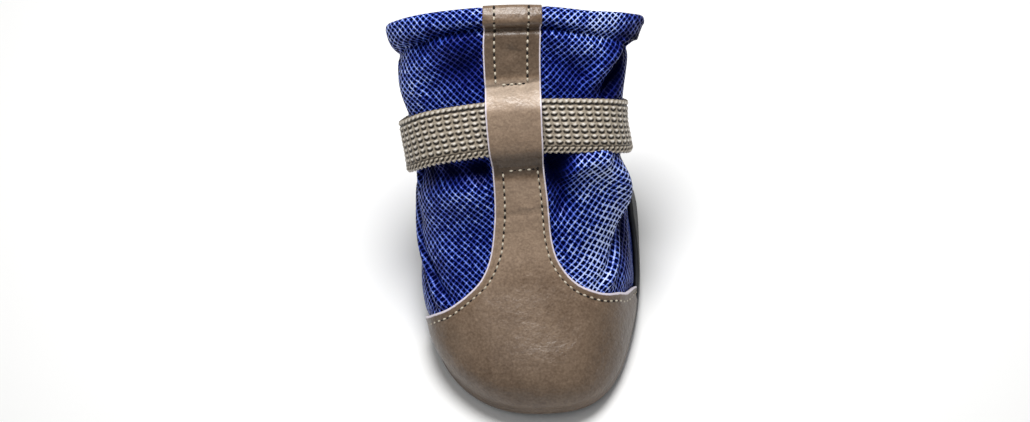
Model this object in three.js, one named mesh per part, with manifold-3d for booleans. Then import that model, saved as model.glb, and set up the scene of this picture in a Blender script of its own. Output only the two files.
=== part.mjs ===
// A soft dog boot for one paw, in millimetres, +Z up. The toe points to -Y and the heel to +Y.
// The origin is the middle of the sole's underside, on the floor.
// The boot is sewn: an air-mesh upper with a rolled hem, a leather-look toe cap whose stem runs up the
// front and over the hem, a black grip sole whose edge turns up round the foot, a lining sole, and an
// elastic strap that passes under the stem and closes behind the ankle on a hook tab and a loop patch.
import * as THREE from "three";
import { mergeVertices } from "three/addons/utils/BufferGeometryUtils.js";
import Module from "manifold-3d";

// Driving dimensions: the last
const footLength = 102;
const footWidth = 77;
const collarHeight = 113.6;

// Driving dimensions: the sole
const dotHeight = 0.8;
const dotDiameter = 6;
const dotPitch = 12;
const soleSheet = 1.8;
const foxingHeight = 14;
const foxingThickness = 1.8;
const toeEdgeThickness = 1.1;
const toeSpring = 2.2;
const toeSwing = 4.2;
const insoleThickness = 1.6;

// Driving dimensions: the upper and what is sewn to it
const meshWall = 2;
const hemHeight = 7;
const hemSwell = 1.3;
const hemTurnIn = 0.6;
const hemShoulderHeight = 1.6;
const creaseDepth = 0.5;
const creaseHeight = 1.5;
const creaseFade = 3.5;
const capThickness = 1;
const capTurnOver = 9;
const capFoot = 1.2;
const loopSlack = 1.3;
const loopRamp = 5;
const webbingWidth = 20;
const webbingThickness = 1.6;
const webbingSlack = 2.2;
const hookTabThickness = 1;
const hookTabEase = 13;
const loopPatchThickness = 0.9;
const loopPatchMargin = 3;

// Clearances between pieces
const fitGap = 0.3;
const skinGap = 0.4;

// Worked out from them
const soleTop = dotHeight + soleSheet;
const biteLine = soleTop + fitGap;
const rise = collarHeight - biteLine;

// The upper is a stack of closed rings from the bite line to the collar. Each ring leans: its front point
// travels up the toe and the instep while its back point climbs the heel. Places along the foot are shares
// of its length, heights are shares of the rise above the bite line, and widths are shares of half the
// foot's width. Shift moves a ring sideways, widest tells how far behind its front it is widest, and the
// two powers square off its front and back halves. Tilt lifts the right side, and dip lowers both sides.
const ringTable = [
  // frontY frontZ backY  backZ  width  shift  widest front back tilt    dip
  [-0.51, 0, 0.5, 0, 0.982, 0.004, 0.66, 2.48, 5.4, 0, 0],
  [-0.519, 0.046, 0.512, 0.037, 0.998, -0.01, 0.66, 2.48, 5, 0, 0],
  [-0.498, 0.1, 0.52, 0.073, 1.012, -0.036, 0.65, 2.48, 4.4, 0, 0],
  [-0.448, 0.15, 0.523, 0.109, 1.013, -0.05, 0.63, 2.45, 3.8, 0, 0],
  [-0.363, 0.2, 0.522, 0.145, 1.013, -0.052, 0.61, 2.45, 3.3, 0, 0],
  [-0.265, 0.25, 0.518, 0.186, 1.012, -0.047, 0.58, 2.4, 3, 0, 0],
  [-0.157, 0.304, 0.51, 0.227, 1.014, -0.035, 0.56, 2.4, 2.8, 0, 0],
  [-0.049, 0.376, 0.5, 0.272, 1.025, -0.008, 0.54, 2.4, 2.7, 0, 0],
  [0.044, 0.47, 0.492, 0.322, 1.018, 0.02, 0.52, 2.5, 2.6, 0, 0],
  [0.123, 0.561, 0.488, 0.363, 1.005, 0.018, 0.5, 2.6, 2.6, 0, 0],
  [0.2, 0.649, 0.495, 0.416, 1.007, 0.004, 0.5, 2.6, 2.6, 0, 0],
  [0.299, 0.764, 0.534, 0.52, 1.04, 0.01, 0.5, 2.5, 2.5, -0.006, 0.012],
  [0.397, 0.882, 0.586, 0.637, 1.09, 0.03, 0.5, 2.3, 2.3, -0.016, 0.034],
  [0.451, 0.943, 0.618, 0.705, 1.135, 0.052, 0.5, 2.2, 2.2, -0.026, 0.056],
  [0.5, 1, 0.647, 0.769, 1.2, 0.07, 0.5, 2.1, 2.1, -0.035, 0.07],
];
const lastRing = ringTable.length - 1;

// The edge of the toe cap and its stem, as ring angles to the left and right of the front line.
const capTable = [
  // ring  left  right
  [0, 70, 73],
  [2, 65, 68],
  [3, 60, 63],
  [4, 51, 56],
  [5, 37, 39.5],
  [5.5, 28.5, 30.5],
  [6, 21.5, 23.5],
  [6.6, 17, 17.5],
  [7.4, 15, 14.5],
  [9, 14, 13.5],
  [10, 13.5, 15],
  [12, 13, 15],
  [14, 12, 14],
];

// How high the sole's edge turns up round the foot, as shares of its full height.
const foxingTable = [
  // angle  share
  [-180, 0.79],
  [-140, 0.57],
  [-110, 0.36],
  [-80, 0.19],
  [-50, 0.065],
  [0, 0.045],
  [50, 0.065],
  [75, 0.23],
  [92, 0.57],
  [104, 0.93],
  [125, 1],
  [150, 0.93],
  [180, 0.79],
];

// Where the strap runs: the ring of its middle line, and how far it stands off, as a share of its slack.
const strapTable = [
  // angle  ring   slack
  [-180, 9.2, 0.1],
  [-120, 9.36, 0.5],
  [-85, 9.58, 1],
  [-45, 10.15, 0.3],
  [0, 10.33, 0],
  [45, 10.15, 0],
  [90, 9.7, 0],
  [120, 9.45, 0],
  [180, 9.2, 0.1],
];
const webbingStart = -152;
const webbingEnd = 136;
const hookTabStart = 120;
const hookTabEnd = 196;
const loopPatchStart = 146;
const loopPatchEnd = 206;

// How finely the pieces are faceted
const stepsRound = 44;
const stepsUp = 17;
const discShares = [0.86, 0.68, 0.34];
const edgeShares = [1 / 3, 2 / 3, 1];

// A smooth value through four neighbouring rows of a table.
function throughFour(a, b, c, d, t) {
  const slopeB = (c - a) / 2;
  const slopeC = (d - b) / 2;
  const t2 = t * t;
  const t3 = t2 * t;
  return (
    (2 * t3 - 3 * t2 + 1) * b +
    (t3 - 2 * t2 + t) * slopeB +
    (3 * t2 - 2 * t3) * c +
    (t3 - t2) * slopeC
  );
}

function ringAt(ring) {
  const place = THREE.MathUtils.clamp(ring, 0, lastRing);
  const low = Math.min(Math.floor(place), lastRing - 1);
  const row = (i) => ringTable[THREE.MathUtils.clamp(i, 0, lastRing)];
  const values = row(low).map((value, column) =>
    throughFour(
      row(low - 1)[column],
      value,
      row(low + 1)[column],
      row(low + 2)[column],
      place - low,
    ),
  );
  const [frontY, frontZ, backY, backZ, width, shift, widest, front, back, tilt, dip] = values;
  return { frontY, frontZ, backY, backZ, width, shift, widest, front, back, tilt, dip };
}

// A value from a table of rows that start with a key, eased between the rows.
function lookUp(table, key, column) {
  const last = table.length - 1;
  if (key <= table[0][0]) return table[0][column];
  if (key >= table[last][0]) return table[last][column];
  const i = table.findIndex((row) => row[0] > key) - 1;
  const t = (key - table[i][0]) / (table[i + 1][0] - table[i][0]);
  return THREE.MathUtils.lerp(table[i][column], table[i + 1][column], t * t * (3 - 2 * t));
}

// The same with rounded corners, for an edge that has to run smoothly.
function lookUpSmooth(table, key, column) {
  const last = table.length - 1;
  const row = (i) => table[THREE.MathUtils.clamp(i, 0, last)];
  const place = THREE.MathUtils.clamp(key, table[0][0], table[last][0]);
  let i = 0;
  while (i < last - 1 && table[i + 1][0] <= place) i++;
  const span = row(i + 1)[0] - row(i)[0];
  const slope = (j) => {
    const before = row(j - 1);
    const after = row(j + 1);
    return ((after[column] - before[column]) / (after[0] - before[0])) * span;
  };
  const t = (place - row(i)[0]) / span;
  const t2 = t * t;
  const t3 = t2 * t;
  return (
    (2 * t3 - 3 * t2 + 1) * row(i)[column] +
    (t3 - 2 * t2 + t) * slope(i) +
    (3 * t2 - 2 * t3) * row(i + 1)[column] +
    (t3 - t2) * slope(i + 1)
  );
}

// A point on the upper's outside. The angle is 0 at the front, 90 at the right and 180 at the back.
function skinPoint(ring, angle) {
  const r = ringAt(ring);
  const turn = THREE.MathUtils.degToRad(angle);
  const along = Math.cos(turn);
  const across = Math.sin(turn);
  const power = along > 0 ? r.front : r.back;
  const reach = (Math.abs(along) ** power + Math.abs(across) ** power) ** (-1 / power);
  const share = r.widest - along * reach * (along > 0 ? r.widest : 1 - r.widest);
  const side = across * reach;
  const height = THREE.MathUtils.lerp(r.frontZ, r.backZ, share) + r.tilt * side - r.dip * side * side;
  return new THREE.Vector3(
    (footWidth / 2) * (r.shift + r.width * side),
    footLength * THREE.MathUtils.lerp(r.frontY, r.backY, share),
    biteLine + rise * height,
  );
}

// The outward direction there. It is level at the bite line, so that the wall stands on the sole.
function skinNormal(ring, angle) {
  const step = 0.05;
  const turn = 0.5;
  const up = skinPoint(Math.min(ring + step, lastRing), angle).sub(
    skinPoint(Math.max(ring - step, 0), angle),
  );
  const round = skinPoint(ring, angle + turn).sub(skinPoint(ring, angle - turn));
  const normal = round.cross(up).normalize();
  normal.z *= THREE.MathUtils.smoothstep(ring, 0, 1);
  return normal.normalize();
}

function onSkin(ring, angle, offset) {
  return skinPoint(ring, angle).addScaledVector(skinNormal(ring, angle), offset);
}

// The ring that lies a distance further up the skin, or down it where the distance is negative.
function ringAfter(ring, angle, distance) {
  const step = 0.05 * Math.sign(distance);
  let at = ring;
  let left = Math.abs(distance);
  while (left > 0 && at + step > -1e-9 && at + step < lastRing + 1e-9) {
    const moved = skinPoint(at + step, angle).distanceTo(skinPoint(at, angle));
    at += step * Math.min(1, left / moved);
    left -= moved;
  }
  return THREE.MathUtils.clamp(at, 0, lastRing);
}

// The toe curls up and swings to the right a little. Every piece goes through this last, so that the
// pieces stay in step.
const springStart = -0.3 * footLength;
const swingStart = -0.2 * footLength;
const toeEnd = -0.5 * footLength;
function withToeSpring(geometry) {
  const position = geometry.attributes.position;
  for (let i = 0; i < position.count; i++) {
    const y = position.getY(i);
    const spring = Math.max(0, (y - springStart) / (toeEnd - springStart));
    const swing = Math.max(0, (y - swingStart) / (toeEnd - swingStart));
    position.setZ(i, position.getZ(i) + toeSpring * spring * spring);
    position.setX(i, position.getX(i) + toeSwing * swing * swing);
  }
  return geometry;
}

// Closed skins from loops of points: open stacks are capped, and closed ones join their last loop to the
// first. A flat cap pairs the two faces of a sheet, and a round one fans from its middle.
function skinLoops(loops, ends) {
  const points = loops.flat();
  const size = loops[0].length;
  const faces = [];
  const rows = ends === "joined" ? loops.length : loops.length - 1;
  for (let i = 0; i < rows; i++)
    for (let j = 0; j < size; j++) {
      const a = i * size + j;
      const b = i * size + ((j + 1) % size);
      const c = ((i + 1) % loops.length) * size + j;
      const d = ((i + 1) % loops.length) * size + ((j + 1) % size);
      faces.push(a, b, d, a, d, c);
    }
  if (ends === "sheet")
    for (const start of [0, (loops.length - 1) * size])
      for (let j = 0; j < size / 2 - 1; j++) {
        const quad = [j, j + 1, size - 2 - j, size - 1 - j].map((k) => start + k);
        if (start === 0) quad.reverse();
        faces.push(quad[0], quad[1], quad[2], quad[0], quad[2], quad[3]);
      }
  if (ends === "round")
    for (const start of [0, (loops.length - 1) * size]) {
      const middle = new THREE.Vector3();
      for (let j = 0; j < size; j++) middle.addScaledVector(points[start + j], 1 / size);
      points.push(middle);
      for (let j = 0; j < size; j++) {
        const pair = [start + j, start + ((j + 1) % size)];
        if (start === 0) pair.reverse();
        faces.push(...pair, points.length - 1);
      }
    }
  const geometry = new THREE.BufferGeometry().setFromPoints(points);
  geometry.setIndex(faces);
  if (volumeOf(points, faces) < 0) faces.reverse();
  geometry.setIndex(faces);
  return geometry;
}

function volumeOf(points, faces) {
  let sum = 0;
  const normal = new THREE.Vector3();
  for (let i = 0; i < faces.length; i += 3)
    sum += points[faces[i]].dot(
      normal.crossVectors(points[faces[i + 1]], points[faces[i + 2]]),
    );
  return sum / 6;
}

const angles = Array.from({ length: stepsRound }, (_, i) => (360 * i) / stepsRound);
const spread = (low, high, steps) =>
  Array.from({ length: steps + 1 }, (_, i) => THREE.MathUtils.lerp(low, high, i / steps));

// The hem is the mesh rolled over at the collar: a step in the wall, with a sewn crease below it.
const hemRing = ringAfter(lastRing, 0, -hemHeight);
const creaseRing = ringAfter(lastRing, 0, -hemHeight - creaseHeight);
const bodyRing = ringAfter(lastRing, 0, -hemHeight - creaseHeight - creaseFade);
const hemShoulder = ringAfter(lastRing, 0, -hemHeight + hemShoulderHeight);
const rimWall = meshWall + hemSwell + hemTurnIn;
const rimRing = ringAfter(lastRing, 0, -rimWall / 2);

function upperOffsets(ring) {
  const profile = [
    [bodyRing, 0, -meshWall],
    [creaseRing, -creaseDepth, -meshWall - creaseDepth],
    [hemRing, 0, -meshWall - hemTurnIn],
    [hemShoulder, hemSwell, -meshWall - hemTurnIn],
  ];
  return { outer: lookUp(profile, ring, 1), inner: lookUp(profile, ring, 2) };
}

// The rounded lip of the hem, from the outside over the top to the inside.
function lipLoop(turn, extra, round) {
  const radius = rimWall / 2 + extra;
  return round.map((angle) => {
    const normal = skinNormal(rimRing, angle);
    const up = skinPoint(lastRing, angle).sub(skinPoint(rimRing, angle)).normalize();
    return onSkin(rimRing, angle, hemSwell - rimWall / 2)
      .addScaledVector(normal, radius * Math.cos(turn))
      .addScaledVector(up, radius * Math.sin(turn));
  });
}

function upperGeometry() {
  const stations = [
    ...spread(0, bodyRing, stepsUp),
    creaseRing,
    hemRing,
    hemShoulder,
    rimRing,
  ];
  const side = (face) =>
    stations.map((ring) => angles.map((angle) => onSkin(ring, angle, upperOffsets(ring)[face])));
  const lip = [0.25, 0.5, 0.75].map((share) => lipLoop(Math.PI * share, 0, angles));
  return skinLoops([...side("outer"), ...lip, ...side("inner").reverse()], "joined");
}

// The sole: a sheet under the foot with an edge that turns up round it, thin and low at the toe.
const foxingTop = (angle, above = 0) =>
  ringAfter(0, angle, foxingHeight * lookUp(foxingTable, wrapped(angle), 1) + above);
const wrapped = (angle) => THREE.MathUtils.euclideanModulo(angle + 180, 360) - 180;
const edgeThickness = (angle) => {
  const share = THREE.MathUtils.smoothstep(Math.abs(wrapped(angle)), 45, 85);
  return THREE.MathUtils.lerp(toeEdgeThickness, foxingThickness, share);
};

function soleLoop(offset, z) {
  return angles.map((angle) => {
    const out = typeof offset === "function" ? offset(angle) : offset;
    return onSkin(0, angle, out).setZ(z);
  });
}

function discLoops(loop) {
  return discShares.map((share) => loop.map((p) => new THREE.Vector3(p.x * share, p.y * share, p.z)));
}

function soleGeometry(wasm) {
  const edge = (angle) => fitGap + edgeThickness(angle);
  const outside = (share) =>
    angles.map((angle) => onSkin(foxingTop(angle) * share, angle, edge(angle)));
  const inside = (share) =>
    angles.map((angle) => onSkin(foxingTop(angle) * share, angle, fitGap));
  const rim = angles.map((angle) =>
    onSkin(foxingTop(angle, 0.3 * edgeThickness(angle)), angle, fitGap + 0.55 * edgeThickness(angle)),
  );
  const underside = soleLoop((angle) => edge(angle) - 1.7, dotHeight);
  const floor = soleLoop(fitGap, soleTop);
  const loops = [
    ...discLoops(underside).reverse(),
    underside,
    soleLoop((angle) => edge(angle) - 0.5, dotHeight + 0.45),
    soleLoop(edge, soleTop - 0.3),
    ...edgeShares.map(outside),
    rim,
    ...edgeShares.map(inside).reverse(),
    floor,
    ...discLoops(floor),
  ];
  let solid = solidOf(wasm, skinLoops(loops, "round"));
  for (const dot of soleDots()) solid = solid.add(solidOf(wasm, dot));
  return geometryOf(solid);
}

// Grip dots in staggered rows over the flat of the sole, one of them at the origin.
function soleDots() {
  const dots = [];
  const rowPitch = dotPitch * Math.sin(Math.PI / 3);
  const rows = Math.ceil(footLength / 2 / rowPitch);
  const columns = Math.ceil(footWidth / 2 / dotPitch);
  const margin = dotDiameter / 2 + 1.2;
  const border = soleLoop(-margin, 0);
  for (let row = -rows; row <= rows; row++)
    for (let column = -columns; column <= columns; column++) {
      const x = (column + (row % 2 ? 0.5 : 0)) * dotPitch;
      const y = row * rowPitch;
      if (!isWithin(border, x, y)) continue;
      const dot = new THREE.CylinderGeometry(dotDiameter / 2, dotDiameter / 2 - 0.4, dotHeight + 0.3, 6);
      dot.rotateX(Math.PI / 2);
      dots.push(dot.translate(x, y, (dotHeight + 0.3) / 2));
    }
  return dots;
}

function isWithin(border, x, y) {
  let inside = false;
  border.forEach((a, i) => {
    const b = border[(i + 1) % border.length];
    if (a.y > y !== b.y > y && x < a.x + ((y - a.y) / (b.y - a.y)) * (b.x - a.x)) inside = !inside;
  });
  return inside;
}

function insoleGeometry() {
  const inset = -meshWall - fitGap;
  const low = soleLoop(inset, soleTop + fitGap);
  const shoulder = soleLoop(inset, soleTop + fitGap + insoleThickness - 0.5);
  const high = soleLoop(inset - 0.5, soleTop + fitGap + insoleThickness);
  return skinLoops([...discLoops(low).reverse(), low, shoulder, high, ...discLoops(high)], "round");
}

// The strap's middle line, and how far its inner face stands off the skin.
const strapRing = (angle) => lookUpSmooth(strapTable, wrapped(angle), 1);
const strapStandOff = (angle) =>
  skinGap + webbingSlack * lookUp(strapTable, wrapped(angle), 2);

// A band round the ankle between two angles, with its inner face at an offset that may follow the angle.
function bandGeometry(start, end, steps, width, thickness, offset) {
  const across = [-0.5, -0.25, 0, 0.25, 0.5];
  const loops = spread(start, end, steps).map((angle) => {
    const face = (out) =>
      across.map((share) =>
        onSkin(ringAfter(strapRing(angle), angle, share * width || 1e-6), angle, out),
      );
    const inner = offset(angle);
    return [...face(inner), ...face(inner + thickness).reverse()];
  });
  return skinLoops(loops, "sheet");
}

const webbingGeometry = () =>
  bandGeometry(webbingStart, webbingEnd, 32, webbingWidth, webbingThickness, strapStandOff);

function loopPatchGeometry() {
  return bandGeometry(
    loopPatchStart,
    loopPatchEnd,
    12,
    webbingWidth + 2 * loopPatchMargin,
    loopPatchThickness,
    () => skinGap,
  );
}

// The hook tab starts on the outside of the webbing and comes down on the patch past the webbing's end.
function hookTabGeometry() {
  const overWebbing = (angle) => strapStandOff(angle) + webbingThickness + fitGap;
  const overPatch = skinGap + loopPatchThickness + fitGap;
  const clearOfWebbing = webbingEnd + 1;
  return bandGeometry(hookTabStart, hookTabEnd, 16, webbingWidth, hookTabThickness, (angle) =>
    THREE.MathUtils.lerp(
      overWebbing(angle),
      overPatch,
      THREE.MathUtils.smoothstep(angle, clearOfWebbing, clearOfWebbing + hookTabEase),
    ),
  );
}

// The toe cap and its stem: one sheet from the sole's edge to the collar, lifted where the strap passes
// under it, and turned over the hem.
const loopStart = ringAfter(strapRing(0), 0, -webbingWidth / 2 - loopRamp);
const loopFull = ringAfter(strapRing(0), 0, -webbingWidth / 2);
const loopBack = ringAfter(strapRing(0), 0, webbingWidth / 2);
const loopEnd = ringAfter(strapRing(0), 0, webbingWidth / 2 + loopRamp);
function capOffset(ring) {
  const lift = webbingThickness + fitGap;
  const middle = strapRing(0);
  const arch = Math.max(0, 1 - ((ring - middle) / (loopEnd - middle)) ** 2);
  const rising = THREE.MathUtils.smoothstep(ring, loopStart, loopFull);
  const falling = 1 - THREE.MathUtils.smoothstep(ring, loopBack, loopEnd);
  const onHem = upperOffsets(ring).outer;
  return skinGap + onHem + lift * rising * falling + loopSlack * arch;
}

const capAngles = (ring, steps) =>
  spread(-lookUpSmooth(capTable, ring, 1), lookUpSmooth(capTable, ring, 2), steps);

// Its lower edge follows the sole's edge, and that rise dies out over the first rings.
const footRise = 3;
const instepRing = 8;
function capGeometry() {
  const steps = 18;
  const lowest = foxingTop(0, capFoot);
  const stations = [
    ...spread(lowest, instepRing, 15).slice(0, -1),
    ...spread(instepRing, loopStart, 2),
    ...spread(loopStart, loopFull, 3).slice(1),
    ...spread(loopFull, loopBack, 4).slice(1),
    ...spread(loopBack, loopEnd, 3).slice(1),
    ...spread(loopEnd, bodyRing, 2).slice(1),
    creaseRing,
    hemRing,
    hemShoulder,
    rimRing,
  ];
  const loops = stations.map((station) => {
    const round = capAngles(station, steps);
    const rings = round.map((angle) => {
      const edge = foxingTop(angle, capFoot) - lowest;
      return station + edge * Math.max(0, 1 - (station - lowest) / footRise);
    });
    const face = (out) => round.map((angle, i) => onSkin(rings[i], angle, capOffset(rings[i]) + out));
    return [...face(0), ...face(capThickness).reverse()];
  });
  const round = capAngles(lastRing, steps);
  for (const share of [0.2, 0.4, 0.6, 0.8, 1]) {
    const turn = Math.PI * share;
    loops.push([
      ...lipLoop(turn, skinGap, round),
      ...lipLoop(turn, skinGap + capThickness, round).reverse(),
    ]);
  }
  for (const share of [0.5, 1]) {
    const ring = ringAfter(rimRing, 0, -capTurnOver * share);
    const face = (out) => round.map((angle) => onSkin(ring, angle, upperOffsets(ring).inner - out));
    loops.push([...face(skinGap), ...face(skinGap + capThickness).reverse()]);
  }
  return skinLoops(loops, "sheet");
}

// Between three.js meshes and manifold solids
function solidOf(wasm, geometry) {
  const bare = geometry.clone();
  bare.deleteAttribute("normal");
  bare.deleteAttribute("uv");
  const merged = mergeVertices(bare, 1e-4);
  return new wasm.Manifold(
    new wasm.Mesh({
      numProp: 3,
      vertProperties: merged.attributes.position.array,
      triVerts: new Uint32Array(merged.index.array),
    }),
  );
}

function geometryOf(solid) {
  const mesh = solid.getMesh();
  const geometry = new THREE.BufferGeometry();
  geometry.setAttribute("position", new THREE.BufferAttribute(mesh.vertProperties, 3));
  geometry.setIndex(Array.from(mesh.triVerts));
  return geometry;
}

const airMesh = new THREE.MeshStandardMaterial({ color: 0x24347c, roughness: 0.85, metalness: 0 });
const taupeLeather = new THREE.MeshStandardMaterial({ color: 0x7c695a, roughness: 0.5, metalness: 0 });
const webbing = new THREE.MeshStandardMaterial({ color: 0x8a8073, roughness: 0.9, metalness: 0 });
const gripRubber = new THREE.MeshStandardMaterial({ color: 0x17181b, roughness: 0.8, metalness: 0 });
const liningFelt = new THREE.MeshStandardMaterial({ color: 0x26282e, roughness: 0.95, metalness: 0 });
const hookTape = new THREE.MeshStandardMaterial({ color: 0x6f6a62, roughness: 0.7, metalness: 0 });

const wasm = await Module();
wasm.setup();

const boot = new THREE.Group();
const pieces = [
  ["outsole", soleGeometry(wasm), gripRubber],
  ["insole", insoleGeometry(), liningFelt],
  ["upper", upperGeometry(), airMesh],
  ["toe_cap", capGeometry(), taupeLeather],
  ["strap_webbing", webbingGeometry(), webbing],
  ["loop_patch", loopPatchGeometry(), hookTape],
  ["hook_tab", hookTabGeometry(), hookTape],
];
for (const [name, geometry, material] of pieces) {
  const mesh = new THREE.Mesh(withToeSpring(geometry), material);
  mesh.name = name;
  boot.add(mesh);
}

export default boot;
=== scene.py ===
# %% [markdown]
# # A soft dog boot in Blender
# The boot is sewn from blue air mesh, one piece of coated leather, elastic webbing and a black grip sole.
# This lesson dresses the CAD frame: each cloth piece is laid on the same leaning rings as the CAD part,
# but with many more points, so that folds, seams and stitches can be placed in millimetres.

import math

import bmesh
import bpy
import numpy as np
from mathutils import Matrix, Vector


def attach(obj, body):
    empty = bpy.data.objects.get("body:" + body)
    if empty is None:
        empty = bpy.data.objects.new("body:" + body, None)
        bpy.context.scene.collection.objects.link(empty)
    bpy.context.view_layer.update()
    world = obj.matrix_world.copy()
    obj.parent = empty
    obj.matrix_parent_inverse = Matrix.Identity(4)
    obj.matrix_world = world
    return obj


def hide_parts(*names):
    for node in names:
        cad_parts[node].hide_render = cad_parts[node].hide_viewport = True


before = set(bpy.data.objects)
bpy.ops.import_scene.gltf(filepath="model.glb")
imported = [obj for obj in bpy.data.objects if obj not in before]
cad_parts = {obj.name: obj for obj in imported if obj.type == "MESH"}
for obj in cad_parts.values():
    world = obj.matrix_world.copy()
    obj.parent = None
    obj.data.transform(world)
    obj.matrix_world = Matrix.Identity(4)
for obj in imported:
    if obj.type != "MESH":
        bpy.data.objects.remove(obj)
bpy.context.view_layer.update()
MM = 0.001
print("nodes", sorted(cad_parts))

# %% [markdown]
# ## The shape that everything is sewn to
# A boot's upper is pulled over a last. Here the last is a stack of leaning rings, so a place on the upper
# is a ring number, from the sole to the collar, and an angle round the leg, 0 at the front and 90 at +X.
# A table of rings was chosen over a sculpted mesh because seams and straps can then be laid by number.

# %% The last
FOOT_LENGTH = 102
FOOT_WIDTH = 77
COLLAR_HEIGHT = 113.6
SOLE_TOP = 2.6
BITE_LINE = SOLE_TOP + 0.3
TOE_SPRING = 2.2
TOE_SWING = 4.2
# front y, front z, back y, back z, width, shift, widest, front power, back power, tilt, dip
# y and z are shares of the foot's length and the collar's height, and widths of half the foot's width
RINGS = np.array([
    [-0.51, 0, 0.5, 0, 0.982, 0.004, 0.66, 2.48, 5.4, 0, 0],
    [-0.519, 0.046, 0.512, 0.037, 0.998, -0.01, 0.66, 2.48, 5, 0, 0],
    [-0.498, 0.1, 0.52, 0.073, 1.012, -0.036, 0.65, 2.48, 4.4, 0, 0],
    [-0.448, 0.15, 0.523, 0.109, 1.013, -0.05, 0.63, 2.45, 3.8, 0, 0],
    [-0.363, 0.2, 0.522, 0.145, 1.013, -0.052, 0.61, 2.45, 3.3, 0, 0],
    [-0.265, 0.25, 0.518, 0.186, 1.012, -0.047, 0.58, 2.4, 3, 0, 0],
    [-0.157, 0.304, 0.51, 0.227, 1.014, -0.035, 0.56, 2.4, 2.8, 0, 0],
    [-0.049, 0.376, 0.5, 0.272, 1.025, -0.008, 0.54, 2.4, 2.7, 0, 0],
    [0.044, 0.47, 0.492, 0.322, 1.018, 0.02, 0.52, 2.5, 2.6, 0, 0],
    [0.123, 0.561, 0.488, 0.363, 1.005, 0.018, 0.5, 2.6, 2.6, 0, 0],
    [0.2, 0.649, 0.495, 0.416, 1.007, 0.004, 0.5, 2.6, 2.6, 0, 0],
    [0.299, 0.764, 0.534, 0.52, 1.04, 0.01, 0.5, 2.5, 2.5, -0.006, 0.012],
    [0.397, 0.882, 0.586, 0.637, 1.09, 0.03, 0.5, 2.3, 2.3, -0.016, 0.034],
    [0.451, 0.943, 0.618, 0.705, 1.135, 0.052, 0.5, 2.2, 2.2, -0.026, 0.056],
    [0.5, 1, 0.647, 0.769, 1.2, 0.07, 0.5, 2.1, 2.1, -0.035, 0.07],
])
LAST = len(RINGS) - 1
print("rings", len(RINGS), "foot", FOOT_LENGTH, "by", FOOT_WIDTH, "mm")

# %% A point on the last
def smoothstep(value, low, high):
    """0 below low and 1 above high, with a soft rise between."""
    share = np.clip((value - low) / (high - low), 0, 1)
    return share * share * (3 - 2 * share)


def smooth_between(t, start, end, slope_start, slope_end):
    """A cubic curve from start to end, with a given slope at each."""
    return (
        (2 * t**3 - 3 * t**2 + 1) * start
        + (t**3 - 2 * t**2 + t) * slope_start
        + (3 * t**2 - 2 * t**3) * end
        + (t**3 - t**2) * slope_end
    )


def ring_values(ring):
    """The table's values at a ring number, which may lie between two rows."""
    place = np.clip(ring, 0, LAST)
    low = np.minimum(np.floor(place).astype(int), LAST - 1)
    t = (place - low)[..., None]
    before, start, end, after = (RINGS[np.clip(low + k, 0, LAST)] for k in (-1, 0, 1, 2))
    return smooth_between(t, start, end, (end - before) / 2, (after - start) / 2)


def skin_point(ring, angle):
    """A point on the upper's outside, in millimetres."""
    ring, angle = np.broadcast_arrays(np.asarray(ring, float), np.asarray(angle, float))
    values = np.moveaxis(ring_values(ring), -1, 0)
    front_y, front_z, back_y, back_z, width, shift, widest, front, back, tilt, dip = values
    along = np.cos(np.radians(angle))
    across = np.sin(np.radians(angle))
    power = np.where(along > 0, front, back)
    reach = (np.abs(along) ** power + np.abs(across) ** power) ** (-1 / power)
    share = widest - along * reach * np.where(along > 0, widest, 1 - widest)
    side = across * reach
    height = front_z + (back_z - front_z) * share + tilt * side - dip * side * side
    x = FOOT_WIDTH / 2 * (shift + width * side)
    y = FOOT_LENGTH * (front_y + (back_y - front_y) * share)
    z = BITE_LINE + (COLLAR_HEIGHT - BITE_LINE) * height
    return np.stack([x, y, z], -1)


def skin_normal(ring, angle):
    """The direction out of the upper. It is level at the sole, so that edges meet the sole squarely."""
    ring, angle = np.broadcast_arrays(np.asarray(ring, float), np.asarray(angle, float))
    up = skin_point(np.minimum(ring + 0.05, LAST), angle) - skin_point(np.maximum(ring - 0.05, 0), angle)
    round_leg = skin_point(ring, angle + 0.5) - skin_point(ring, angle - 0.5)
    normal = np.cross(round_leg, up)
    normal /= np.linalg.norm(normal, axis=-1, keepdims=True)
    normal[..., 2] *= smoothstep(ring, 0, 1)
    return normal / np.linalg.norm(normal, axis=-1, keepdims=True)


print("back of the sole", skin_point(0, 180).round(1))

# %% The toe's curl
def toe_rise(y):
    """How far the toe's spring lifts a point, from its place along the foot."""
    return TOE_SPRING * np.maximum(0, (y + 0.3 * FOOT_LENGTH) / (-0.2 * FOOT_LENGTH)) ** 2


def curl_toe(points):
    """The toe curls up and swings to +X a little, for every piece alike."""
    y = points[..., 1]
    swing = np.maximum(0, (y + 0.2 * FOOT_LENGTH) / (-0.3 * FOOT_LENGTH))
    moved = points.copy()
    moved[..., 0] += TOE_SWING * swing**2
    moved[..., 2] += toe_rise(y)
    return moved


def on_skin(ring, angle, offset):
    """A point that stands off the upper's outside, after the toe's curl."""
    offset = np.asarray(offset, float)[..., None]
    return curl_toe(skin_point(ring, angle) + skin_normal(ring, angle) * offset)


print("collar front", on_skin(LAST, 0, 0), "toe", on_skin(1, 0, 0))

# %% [markdown]
# ## Measuring along the cloth
# Weave, stitches and folds have sizes along the cloth, not in degrees. So the lengths round the leg and
# up the leg are added up once over a fine net, and each point can be asked for its place on the cloth.

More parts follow.
